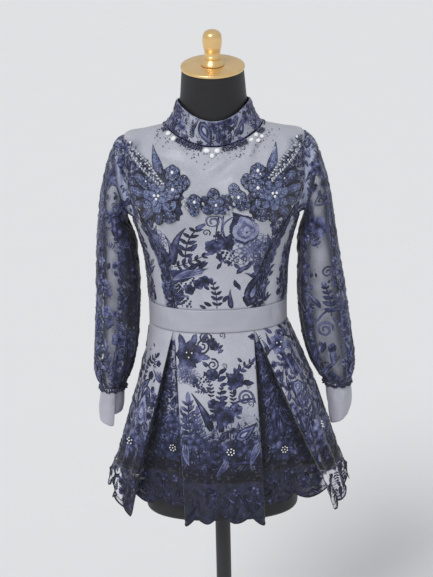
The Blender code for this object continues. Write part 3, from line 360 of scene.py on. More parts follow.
# Creases in the satin seen from the front: from, to, half width, height (minus is a trough).
CHEST_CREASES = (
    # x0, z0, x1, z1, wide, high
    (0.079, 1.36, 0.064, 1.315, 0.0044, 0.0038), (0.089, 1.355, 0.074, 1.308, 0.0052, -0.0034),
    (0.042, 1.333, -0.027, 1.292, 0.0052, 0.0036), (0.048, 1.323, -0.012, 1.28, 0.006, -0.0034),
    (-0.09, 1.342, -0.045, 1.33, 0.0048, 0.003), (-0.115, 1.33, -0.055, 1.317, 0.0054, -0.003),
    (-0.075, 1.306, -0.03, 1.294, 0.006, 0.0022), (0.118, 1.338, 0.09, 1.33, 0.005, 0.0026),
    (0.045, 1.306, 0.02, 1.276, 0.005, 0.0026),
)
BODY_CREASES = (
    (-0.07, 1.105, -0.025, 1.098, 0.006, 0.0012), (-0.06, 1.056, 0.015, 1.05, 0.007, -0.0013),
    (0.03, 1.078, 0.075, 1.086, 0.006, 0.0012), (0.04, 1.04, 0.07, 1.044, 0.005, -0.0011),
    (-0.12, 1.07, -0.1, 1.064, 0.005, 0.0012), (0.1, 1.062, 0.125, 1.07, 0.005, 0.0012),
    (-0.05, 1.16, -0.01, 1.15, 0.008, -0.001), (0.03, 1.165, 0.05, 1.14, 0.007, 0.001),
)
BACK_CREASES = (
    (-0.085, 1.34, -0.03, 1.32, 0.006, 0.0016), (0.09, 1.345, 0.035, 1.325, 0.006, 0.0015),
    (-0.09, 1.25, -0.04, 1.235, 0.008, 0.0012), (0.095, 1.238, 0.05, 1.225, 0.008, -0.0012),
    (-0.11, 1.075, -0.05, 1.066, 0.007, 0.0015), (-0.08, 1.048, -0.02, 1.043, 0.006, -0.0013),
    (0.03, 1.052, 0.1, 1.06, 0.007, 0.0015), (0.05, 1.035, 0.09, 1.038, 0.005, -0.0012),
)
SATIN_DEEP, SATIN_PALE = "#acaeb7", "#c5c7cf"
THREAD_DARK, THREAD_BLUE, THREAD_LILAC, THREAD_PALE = "#0d1124", "#2f345a", "#6c719a", "#a2a7c0"


def satin_colour(tree, place, deep=SATIN_DEEP, pale=SATIN_PALE):
    """Bridal satin's own colour: silver with a breath of lavender, slightly cloudy."""
    cloudy = add(tree, "TexNoise", {"Vector": place, "Scale": 22.0, "Detail": 3.0})
    return add(tree, "Mix", {0: cloudy, 6: deep, 7: pale})


def satin_weave(tree, place):
    """Height of the weave: long floats across a fine warp, drawn at 1 mm to show."""
    floats = add(tree, "TexWave", {"Vector": place, "Scale": 160.0, "Distortion": 1.2, "Detail": 1.0},
                 bands_direction="Y", out="Fac")
    slubs = add(tree, "TexNoise", {"Vector": place, "Scale": 600.0, "Detail": 2.0})
    return add(tree, "Math", {0: floats, 1: slubs}, operation="ADD")


def bridal_satin():
    """Polyester bridal satin: a smooth face with a broad soft gleam along its folds."""
    finish, tree, shader = new_finish("woven_bridal_satin", Roughness=0.42, Sheen_Weight=0.25,
                                      Sheen_Roughness=0.4, Anisotropic=0.35, Specular_IOR_Level=0.45)
    place = add(tree, "UVMap", uv_map="cloth")
    bump = add(tree, "Bump", {"Height": satin_weave(tree, place), "Strength": 0.12, "Distance": 0.0004})
    plug(shader, Base_Color=satin_colour(tree, place, "#9b9ca7", "#b2b3be"), Normal=bump)
    return finish


def lace_marks(tree, place, share):
    """Where small embroidered sprigs cover the net, from 0 to 1, thicker where share is higher."""
    drift = add(tree, "TexNoise", {"Vector": place, "Scale": 70.0, "Detail": 2.0}, out="Color")
    away = add(tree, "VectorMath", {0: drift, 1: (0.014, 0.014, 0.0)}, operation="MULTIPLY")
    bent = add(tree, "VectorMath", {0: place, 1: away}, operation="ADD")
    long = add(tree, "Mapping", {"Vector": bent, "Scale": (1.0, 0.55, 1.0), "Rotation": (0, 0, 0.5)})
    sprig = add(tree, "TexVoronoi", {"Vector": long, "Scale": 150.0})  # 7 mm
    stem = add(tree, "TexVoronoi", {"Vector": bent, "Scale": 62.0}, feature="DISTANCE_TO_EDGE")
    reach = add(tree, "MapRange", {0: share, 1: 0.12, 3: -0.06, 4: 0.62})
    inside = add(tree, "Math", {0: reach, 1: sprig}, operation="SUBTRACT")
    leaf = add(tree, "MapRange", {0: inside, 1: -0.05, 2: 0.05})
    width = add(tree, "MapRange", {0: share, 1: 0.3, 3: -0.02, 4: 0.11})
    within = add(tree, "Math", {0: width, 1: stem}, operation="SUBTRACT")
    cord = add(tree, "MapRange", {0: within, 1: -0.01, 2: 0.03})
    return add(tree, "Math", {0: leaf, 1: cord}, operation="MAXIMUM")


def thread_colour(tree, place, lightness):
    """Rayon thread from nearly black navy over indigo to lilac."""
    patchy = add(tree, "TexNoise", {"Vector": place, "Scale": 75.0, "Detail": 3.0})
    patches = add(tree, "Math", {0: patchy, 1: 1.7, 2: -0.45}, operation="MULTIPLY_ADD")
    mixed = add(tree, "Math", {0: patches, 1: lightness}, operation="ADD")
    low = add(tree, "MapRange", {0: mixed, 1: 0.2, 2: 0.66})
    high = add(tree, "MapRange", {0: mixed, 1: 0.66, 2: 1.15})
    blue = add(tree, "Mix", {0: low, 6: THREAD_DARK, 7: THREAD_BLUE})
    lilac = add(tree, "Mix", {0: high, 6: blue, 7: THREAD_LILAC})
    pale = add(tree, "MapRange", {0: mixed, 1: 1.15, 2: 1.75})
    return add(tree, "Mix", {0: pale, 6: lilac, 7: THREAD_PALE})


def darker_net_and_painted_shade(tree, colour, share):
    """Darker where the share passes 1: painted shade where the net lies double in the folds, and
    the close dark net by the hem and in the border.
    """
    dark = add(tree, "MapRange", {0: share, 1: 1.0, 2: 2.0, 3: 1.0, 4: 0.06})
    return add(tree, "VectorMath", {0: colour, 3: dark}, operation="SCALE")


def lace_over_satin():
    """Embroidered tulle on satin: the gleam shows between sprigs of raised matt thread."""
    finish, tree, shader = new_finish("embroidered_tulle_on_satin", Sheen_Weight=0.2,
                                      Sheen_Roughness=0.4, Specular_IOR_Level=0.4)
    place = add(tree, "UVMap", uv_map="cloth")
    # The share of lace, which past 1 also carries painted shade.
    share = add(tree, "Attribute", attribute_name="lace_and_shade", out="Fac")
    marks = lace_marks(tree, place, share)
    veiled = add(tree, "MapRange", {0: share, 1: 0.2, 2: 0.9, 3: 0.0, 4: 0.78})
    satin = add(tree, "Mix", {0: veiled, 6: satin_colour(tree, place), 7: "#52597a"})
    net = add(tree, "TexVoronoi", {"Vector": place, "Scale": 420.0}, feature="DISTANCE_TO_EDGE")  # 2.4 mm
    mesh = add(tree, "MapRange", {0: net, 1: 0.04, 2: 0.16, 3: 0.22, 4: 0.03})
    netted = add(tree, "Mix", {0: mesh, 6: satin, 7: "#40456a"})
    thread = thread_colour(tree, place, add(tree, "MapRange", {0: share, 3: 0.2, 4: -0.02}))
    shade = add(tree, "Mix", {0: marks, 6: netted, 7: thread})
    gloss = add(tree, "MapRange", {0: marks, 3: 0.42, 4: 0.62})
    fine = add(tree, "Bump", {"Height": satin_weave(tree, place), "Strength": 0.1, "Distance": 0.0004})
    raised = add(tree, "Bump", {"Height": marks, "Strength": 0.6, "Distance": 0.0008, "Normal": fine})
    # Past a share of 1 the colour is painted darker: shade in the pleats, and the close dark net by the hem.
    plug(shader, Base_Color=darker_net_and_painted_shade(tree, shade, share), Roughness=gloss, Normal=raised)
    return finish


def crumpled(grid, creases, facing):
    """Soft troughs and ridges pressed into the front (-1) or the back (1) of the cloth."""
    move = np.zeros(grid.shape[:2])
    here = grid[..., [0, 2]]
    for x0, z0, x1, z1, wide, high in creases:
        start, run = np.array((x0, z0)), np.array((x1 - x0, z1 - z0))
        along = ((here - start) @ run) / (run @ run)
        off = np.linalg.norm(here - start - np.clip(along, 0, 1)[..., None] * run, axis=-1)
        off += 0.3 * wide * np.sin(along * 9.0)
        fade = np.clip(1.25 - 2.1 * np.abs(np.clip(along, -0.2, 1.2) - 0.45), 0, 1)
        move += high * fade * np.exp(-(off / wide) ** 2)
    move *= np.clip(facing * grid[..., 1] / 0.03, 0, 1)
    return grid + directions(grid) * move[..., None]


def body_ring(row, angles):
    return with_bust(oval(between(BODY_RINGS, row), angles), angles)


def seam_angle(row, angle, gap):
    """How far round the ring a gap reaches, as an angle."""
    ends = body_ring(row, np.array((angle - 0.01, angle + 0.01)))
    return gap * 0.02 / np.linalg.norm(ends[1] - ends[0])


def lookup(rows, key, column=1):
    return float(np.interp(key, [row[0] for row in rows], [row[column] for row in rows]))


def princess(row, hand):
    ring = between(BODY_RINGS, row)
    return asin((lookup(PRINCESS, row, 1 if hand < 0 else 2) / ring[0]) ** (ring[6] / 2))


def armhole(row, side):
    """Angle of the armhole's front (-1) or back (1) edge."""
    return pi / 2 + side * radians(lookup(ARMHOLE, row, 1 if side < 0 else 2))


def seam(row, hand, angle, side):
    """A panel's edge, half a seam away from the line that it shares with its neighbour."""
    return hand * (angle + side * seam_angle(row, hand * angle, SEAM / 2))


def front_edge(row, hand):
    """Edge of the centre front: shoulder, armhole, then princess seam."""
    low = row > PRINCESS_ROW + PRINCESS_STEP / 2
    return seam(row, hand, princess(row, hand) if low else armhole(row, -1), -1)


def bodice_grid(rows, first, last, columns):
    """Points between two edges given as angles by row, left to right seen from outside."""
    return np.array([body_ring(row, np.linspace(*sorted((first(row), last(row))), columns + 1))
                     for row in rows])


def spread(value, low, high):
    """0 below the low end, 1 above the high end, and smooth between."""
    t = np.clip((value - low) / (high - low), 0, 1)
    return t * t * (3 - 2 * t)


lace_satin = lace_over_satin()
satin_finish = bridal_satin()
fine_rows = np.unique(np.concatenate((np.linspace(0, WAIST_ROW, 105), [r[0] for r in ARMHOLE],
                                      [PRINCESS_ROW + PRINCESS_STEP])))
side_rows = fine_rows[fine_rows > PRINCESS_ROW + 1e-6]
bodice = {"front_centre": bodice_grid(fine_rows, lambda r: front_edge(r, -1), lambda r: front_edge(r, 1), 84)}
for word, hand in (("left", 1), ("right", -1)):
    bodice["front_side_" + word] = bodice_grid(side_rows, lambda r: seam(r, hand, princess(r, hand), 1),
                                               lambda r: seam(r, hand, armhole(r, -1), -1), 28)
    bodice["back_" + word] = bodice_grid(fine_rows, lambda r: seam(r, hand, armhole(r, 1), 1),
                                         lambda r: hand * (pi - seam_angle(r, pi, ZIP_HALF + SEAM)), 48)
bodice_cuts = {"front_centre": (0.4, 0.36, 0.114), "front_side_left": (0.125, 0.215, 0.0218),
               "front_side_right": (0.12, 0.215, 0.0196), "back_left": (0.25, 0.36, 0.074),
               "back_right": (0.25, 0.36, 0.074)}
for part, grid in bodice.items():
    front = part.startswith("front")
    grid = crumpled(grid, CHEST_CREASES + BODY_CREASES, -1) if front else crumpled(grid, BACK_CREASES, 1)
    bodice[part] = grid
    x, z = np.abs(grid[..., 0]), grid[..., 2]
    along = measured(grid)[..., 0]
    edge = np.minimum(along - along[:, :1], along[:, -1:] - along)
    edge = edge + 0.002 * np.sin(190 * z) + 0.0015 * np.sin(410 * z)
    if part == "front_centre":
        chest = 0.75 * spread(x, 0.128, 0.155) * (1 - spread(z, 1.345, 1.365)) * spread(z, 1.215, 1.235)
        lace_and_shade = np.maximum(0.8 * chest, 0.8 * spread(-edge, -0.0125, -0.006) * spread(-z, -1.225, -1.205))
        lace_and_shade = np.maximum(lace_and_shade, 0.17)
    elif front:
        share = (along - along[:, :1]) / np.maximum(along[:, -1:] - along[:, :1], 1e-6)
        share = 1 - share if part.endswith("right") else share
        lace_and_shade = np.interp(share, (0, 0.14, 0.24, 0.4, 0.52, 1), (0.95, 0.85, 0.15, 0.2, 0.65, 0.85))
    else:
        lace_and_shade = 0.2 + 0.55 * spread(x, 0.09, 0.14) + 0.1 * np.sin(40 * z + 30 * x)
        lace_and_shade = lace_and_shade * (1 - 0.8 * spread(z, 1.335, 1.352))
    piece = new_cloth("satin_" + part, grid, lace_satin, CLOTH, values={"lace_and_shade": np.maximum(lace_and_shade, 0)})
    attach(piece, "root")
    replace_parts(piece, "bodice_" + part)


# ---- embroidery
# Rayon thread laid on the tulle by machine: leaves in satin stitch, sprays, scrolls and
# paisleys outlined in cord, and small five-petalled flowers. It stands about half a
# millimetre proud of the cloth, and runs thick over the side panels and the skirt's hem.
LEAF_PAD, CORD_PAD, STITCH_SINK = 0.0009, 0.001, 0.0001
SEAM_CORD = 0.0024


def embroidery_thread():
    """Satin-stitched rayon: close parallel threads with a silky gleam, drawn 1.3 mm apart to show.
    Each thread's colour is painted lighter on its crown and darker between, as highlight and shade.
    """
    finish, tree, shader = new_finish("satin_stitched_rayon", Roughness=0.48, Sheen_Weight=0.35,
                                      Sheen_Roughness=0.35, Anisotropic=0.4, Specular_IOR_Level=0.4)
    place = add(tree, "UVMap", uv_map="cloth")
    tint = add(tree, "Attribute", attribute_name="tint", out="Fac")
    colour = thread_colour(tree, add(tree, "TexCoord", out="Object"), tint)
    rows = add(tree, "TexWave", {"Vector": place, "Scale": 120.0, "Distortion": 0.8}, "Fac",
               bands_direction="X")
    # Painted shade and highlight: darker between the threads, lighter on them.
    shade = add(tree, "MapRange", {0: rows, 3: 0.72, 4: 1.15})
    colour_with_painted_shade = add(tree, "VectorMath", {0: colour, 3: shade}, operation="SCALE")
    bump = add(tree, "Bump", {"Height": rows, "Strength": 0.5, "Distance": 0.0005})
    plug(shader, Base_Color=colour_with_painted_shade, Normal=bump)
    return finish


class Ground:
    """A stretch of cloth that embroidery lies on, read at fractional rows and columns."""

    def __init__(self, grid, closed=False):
        self.grid, self.closed = grid, closed
        self.normals = directions(grid, closed)

    def at(self, rows, columns):
        """Points and outward directions at places on the cloth."""
        high, wide = self.grid.shape[:2]
        rows = np.clip(rows, 0, high - 1.001)
        columns = columns % wide if self.closed else np.clip(columns, 0, wide - 1.001)
        r, c = rows.astype(int), columns.astype(int)
        c2 = (c + 1) % wide
        fr, fc = (rows - r)[:, None], (columns - c)[:, None]
        points, normals = ((1 - fr) * ((1 - fc) * v[r, c] + fc * v[r, c2])
                           + fr * ((1 - fc) * v[r + 1, c] + fc * v[r + 1, c2])
                           for v in (self.grid, self.normals))
        return points, normals / np.linalg.norm(normals, axis=1, keepdims=True)

    def stride(self, row, column):
        """Rows and columns moved for each metre to the right and each metre up."""
        ends = self.at(np.array((row - 0.5, row + 0.5, row, row)),
                       np.array((column, column, column - 0.5, column + 0.5)))[0]
        by_row, by_column = ends[1] - ends[0], ends[3] - ends[2]
        right = by_column / max(np.linalg.norm(by_column), 1e-9)
        up = -(by_row - (by_row @ right) * right)
        up /= max(np.linalg.norm(up), 1e-9)
        return np.linalg.inv(np.array(((by_row @ right, by_column @ right),
                                       (by_row @ up, by_column @ up))) + 1e-9 * np.eye(2))

    def locate(self, x, z):
        """Rows and columns seen at places from the front."""
        hidden = np.where(self.normals[..., 1] < -0.05, 0, 1)
        high, wide = hidden.shape
        nearest = [np.argmin((self.grid[..., 0] - a) ** 2 + (self.grid[..., 2] - b) ** 2 + hidden)
                   for a, b in zip(x, z)]
        rows, columns = np.array(np.unravel_index(nearest, hidden.shape), float)
        for _ in range(5):
            here = self.at(rows, columns)[0]
            by_row = self.at(rows + 0.5, columns)[0] - self.at(rows - 0.5, columns)[0]
            by_column = self.at(rows, columns + 0.5)[0] - self.at(rows, columns - 0.5)[0]
            dx, dz = np.asarray(x) - here[:, 0], np.asarray(z) - here[:, 2]
            size = by_row[:, 0] * by_column[:, 2] - by_column[:, 0] * by_row[:, 2]
            size = np.where(np.abs(size) < 1e-9, 1e-9, size)
            rows = rows + np.clip((dx * by_column[:, 2] - by_column[:, 0] * dz) / size, -0.6, 0.6)
            columns = columns + np.clip((by_row[:, 0] * dz - dx * by_row[:, 2]) / size, -0.6, 0.6)
            rows = np.clip(rows, 0.5, high - 1.6)
            columns = columns if self.closed else np.clip(columns, 0.5, wide - 1.6)
        return rows, columns


def travelled(points):
    """How far along a line each of its points is."""
    return np.concatenate(([0], np.cumsum(np.linalg.norm(np.diff(points, axis=0), axis=1))))


def band(spine, halves, pad, tint, flat=False, lines=3):
    """A raised strip of stitches along a curve, darker at its edges unless flat: points, faces,
    tints, measures."""
    spine, halves = np.asarray(spine, float), np.asarray(halves, float)
    run = np.gradient(spine, axis=0)
    run /= np.maximum(np.linalg.norm(run, axis=1, keepdims=True), 1e-12)
    side = np.linspace(1, -1, lines)
    across = halves[:, None] * side
    crown = np.full(len(spine), pad) if flat else pad * np.minimum(1, halves / max(halves.max(), 1e-9) + 0.15)
    high = (crown[:, None] + STITCH_SINK) * (1 - np.abs(side) ** 3) - STITCH_SINK
    aside = np.stack((-run[:, 1], run[:, 0]), 1)
    points = np.concatenate((spine[:, None] + aside[:, None] * across[..., None], high[..., None]), 2)
    measures = np.stack((np.broadcast_to(travelled(spine)[:, None], across.shape), across), -1)
    shade = np.asarray(tint, float).reshape(-1, 1) + (0 if flat else 0.16 - 0.42 * np.abs(side)) + 0 * across
    return (points.reshape(-1, 3), grid_faces(len(spine), lines, False)[:, ::-1], shade.ravel().copy(),
            measures.reshape(-1, 2))


def placed(shape, x=0.0, y=0.0, turn=0.0, size=1.0, flip=1, lift=0.0):
    """A shape moved within its motif: shifted, turned, scaled and mirrored."""
    points, faces, tint, measures = shape
    c, s = cos(turn) * size, sin(turn) * size
    across, up = points[:, 0] * flip, points[:, 1]
    moved = np.stack((x + c * across - s * up, y + s * across + c * up, points[:, 2] + lift), 1)
    return moved, faces[:, ::-1] if flip < 0 else faces, tint, measures * size


def together(shapes):
    """Several shapes as one motif."""
    offsets = np.cumsum([0] + [len(s[0]) for s in shapes])
    return (np.concatenate([s[0] for s in shapes]),
            np.concatenate([s[1] + o for s, o in zip(shapes, offsets)]),
            np.concatenate([s[2] for s in shapes]), np.concatenate([s[3] for s in shapes]))


def leaf(length, width, bend=0.0, tint=0.0, steps=4):
    """One leaf growing upwards from its stalk, its tip bent to a side and a little lighter."""
    t = np.linspace(0, 1, steps + 1)
    spine = np.stack((bend * length * t * t, length * t), 1)
    halves = width / 2 * np.sin(pi * t ** 0.85) ** 0.6
    halves[0], halves[-1] = width * 0.06, 0.0
    return band(spine, halves, LEAF_PAD, tint + 0.25 * t)


def dot(radius, tint=0.0):
    """One padded dot, such as a berry."""
    rise = np.array((-1, -0.5, 0.5, 1)) * radius
    return band(np.stack((0 * rise, rise), 1), radius * np.array((0.3, 0.95, 0.95, 0.3)), CORD_PAD, tint)


def curl(radius, turns, width, tint=0.0, steps=16):
    """A scroll of cord, light along its crown and dark at its edges, that winds in from its foot."""
    t = np.linspace(0, 1, steps + 1)
    reach = radius * (1 - 0.82 * t)
    spine = np.stack((reach * np.cos(2 * pi * turns * t), reach * np.sin(2 * pi * turns * t)), 1)
    halves = width / 2 * (1 - 0.3 * t)
    return together([band(spine, halves, CORD_PAD, tint - 0.1, True),
                     placed(band(spine, halves * 0.55, CORD_PAD, tint + 0.4, True), lift=0.0003)])


def fern(length, pairs, tint=0.0, bend=0.15, slim=0.3, wide=0.36, tip=0.35):
    """A spray: a curved stalk, a lighter leaf at its tip and pairs of leaves down its sides."""
    t = np.linspace(0, 1, 8)
    stalk = np.stack((bend * length * t * t, length * 0.8 * t), 1)
    shapes = [band(stalk, np.full(8, length * 0.016), CORD_PAD, tint, True)]
    size = length * max(slim, 0.21)
    shapes.append(placed(leaf(size, size * max(wide, 0.42), 0, tint + tip), *(stalk[-1] * 0.98),
                         -2 * bend * 0.8))
    for i in range(pairs):
        part = (i + 0.6) / pairs
        foot = (bend * length * part * part, length * 0.8 * part)
        size = length * slim * (1.05 - 0.35 * abs(part - 0.35) * 2)
        for side in (-1, 1):
            turn = side * -(0.95 - 0.25 * part) - 2 * bend * part * 0.6
            shapes.append(placed(leaf(size, size * wide, 0.1 * side, tint), *foot, turn))
    return together(shapes)


def flower(radius, petals=5, tint=0.0, round_out=1.0, layers=1, pointed=0.0, lines=3):
    """A flower of petals, each dark at its root and lighter at its rim, with a raised heart."""
    shapes = []
    for layer in range(layers):
        reach = radius * (1 - 0.36 * layer)
        for i in range(petals):
            t = np.linspace(0, 1, 5)
            spine = np.stack((np.zeros(5), reach * (0.08 + 0.92 * t)), 1)
            halves = np.sin(pi * np.clip(t * 0.92 + 0.04, 0, 1)) ** (0.55 + pointed)
            halves = 2.3 * reach / petals * round_out * halves
            shade = tint - 0.3 + 0.75 * t + 0.22 * (i % 2) - 0.2 * layer
            petal = band(spine, halves, LEAF_PAD * 1.2, shade, False, lines)
            shapes.append(placed(petal, 0, 0, 2 * pi * (i + 0.5 * layer) / petals,
                                 lift=0.0004 * layer + 0.0002 * (i % 2)))
    shapes.append(placed(dot(radius * 0.2, tint - 0.3), lift=0.0006 + 0.0004 * layers))
    return together(shapes)


def drop_spine(length, width, bend, t):
    """The middle line and the half widths of a teardrop with its tip bent over."""
    reach = np.interp(t, (0, 0.05, 0.16, 0.33, 0.55, 0.75, 0.9, 1), (0.04, 0.5, 0.86, 1, 0.84, 0.48, 0.2, 0))
    return np.stack((bend * length * t ** 2.4, length * t), 1), width / 2 * reach


def drop(length, width, bend, tints, dots=0):
    """A filled teardrop in nested layers of their own lightness, with dots on its second."""
    shapes, t = [], np.linspace(0, 1, 12)
    for k, tint in enumerate(tints):
        small = 1 - k / (len(tints) + 0.3)
        spine, halves = drop_spine(length, width, bend, 0.33 * (1 - small) + small * t)
        halves = small * drop_spine(length, width, bend, t)[1]
        shapes.append(placed(band(spine, halves, LEAF_PAD, tint, True, 5), lift=0.0006 * k))
    for i in range(dots):
        spine, halves = drop_spine(length, width, bend, np.array((0.14 + 0.6 * i / max(dots - 1, 1),)))
        for side in (-1, 1):
            shapes.append(placed(dot(length * 0.02, -0.2), spine[0, 0] + side * 0.66 * halves[0], spine[0, 1],
                                 lift=0.0005))
    return together(shapes)


def blade(length, width, bend=0.35, tint=0.0):
    """A long curved leaf like a flame, dark at its foot and lilac at its tip, edged with cord."""
    t = np.linspace(0, 1, 12)
    spine = np.stack((bend * length * t ** 2, length * t - 0.1 * bend * length * np.sin(pi * t)), 1)
    halves = width / 2 * np.interp(t, (0, 0.12, 0.3, 0.5, 0.75, 1), (0.25, 0.8, 1, 0.85, 0.42, 0))
    shapes = [band(spine, halves, LEAF_PAD, tint - 0.15 + 0.8 * t, False, 5)]
    for side in (-1, 1):
        edge = spine + np.stack((side * halves, np.zeros(12)), 1)
        cord = band(edge, np.full(12, length * 0.011), CORD_PAD, tint - 0.2, True)
        shapes.append(placed(cord, lift=0.0002))
    return together(shapes)


def fan(length, width, ribs, tint=0.5):
    """A broad pale leaf with dark ribs spreading from its foot."""
    shapes = [drop(length, width, 0.1, (tint - 0.55, tint - 0.15))]
    for i in range(ribs):
        swing = (i / (ribs - 1) - 0.5) * 1.5
        t = np.linspace(0, 1, 7)
        across = 0.5 * width * swing * np.sin(0.5 * pi * t) * (1 - 0.35 * t) + 0.1 * length * t ** 2.4
        spine = np.stack((across, 0.92 * length * t * (1 - 0.22 * abs(swing))), 1)
        rib = band(spine, np.full(7, 0.0011), CORD_PAD, tint + 0.35 - 0.5 * (i % 2), True)
        shapes.append(placed(rib, lift=0.0004))
    return together(shapes)


def filigree(radius, loops=11, tint=0.75):
    """Two rings of crossing loops of fine cord round a middle."""
    shapes, t = [], np.linspace(0, 2 * pi, 10)
    for i in range(2 * loops):
        reach = radius * (1 if i % 2 else 0.66)
        spine = np.stack((0.3 * reach * np.sin(t), reach * (0.54 - 0.46 * np.cos(t))), 1)
        loop = band(spine, np.full(10, 0.0006), CORD_PAD, tint - 0.15 * (i % 3), True)
        shapes.append(placed(loop, 0, 0, pi * i / loops))
    return together(shapes)


def arc(length, bulge, width, tint=0.1):
    """A stem that bows out to its side."""
    t = np.linspace(0, 1, 13)
    spine = np.stack((bulge * length * np.sin(pi * t), length * t), 1)
    return band(spine, width / 2 * (1.1 - 0.5 * t), CORD_PAD, tint, True)


MOTIFS = {
    "leaf": leaf(0.016, 0.0084, 0.2),
    "fern": fern(0.05, 7, 0.0, 0.12, 0.27, 0.4),
    "branch": fern(0.084, 5, 0.0, 0.2, 0.22, 0.54),
    "branch_small": fern(0.05, 4, 0.0, 0.15, 0.29, 0.54),
    "fern_small": fern(0.03, 4, 0.0, 0.15, 0.32, 0.42),
    "flower": flower(0.01, 5, 0.0, 1.15),
    "bloom": flower(0.02, 6, 0.05, 1.2, 2),
    "rosette": together([flower(0.03, 7, 0.2, 1.25, 2, 0.1, 5),
                         placed(flower(0.013, 7, -0.25, 1.1, 1, 0.2), lift=0.0012)]),
    "drop": together([drop(0.078, 0.034, 0.16, (-0.35, 0.25, -0.25, 0.85)),
                      placed(fern(0.034, 5, 0.2, 0.1, 0.3, 0.3), 0, 0.01, 0, lift=0.001)]),
    "dotted_drop": together([drop(0.06, 0.04, 0.24, (-0.2, 0.85, 0.35, 1.05)),
                             placed(arc(0.05, 0.16, 0.0024, 0.2), 0.022, 0.004, 0.25),
                             placed(flower(0.0085, 6, 0.1, 1, 1), 0.001, 0.021, 0, lift=0.0014)]),
    "drop_small": drop(0.03, 0.015, 0.18, (-0.3, 0.35, -0.2), 4),
    "curl": curl(0.0105, 1.6, 0.0034),
    "curl_small": curl(0.007, 1.2, 0.0024, -0.1, 10),
    "scroll": curl(0.014, 1.7, 0.0046, 0.1, 26),
    "stem": arc(0.05, -0.3, 0.0034),
    "blade": blade(0.06, 0.0125),
    "blade_small": blade(0.028, 0.008, 0.3),
    "fan": fan(0.06, 0.026, 7),
    "filigree": filigree(0.022),
    "berries": together([placed(dot(0.0036 - 0.001 * (i % 2), 0.15 * (i % 3)),
                                0.011 * cos(2.4 * i) * ((i + 1) / 7) ** 0.5,
                                0.011 * sin(2.4 * i) * ((i + 1) / 7) ** 0.5) for i in range(7)]),
}


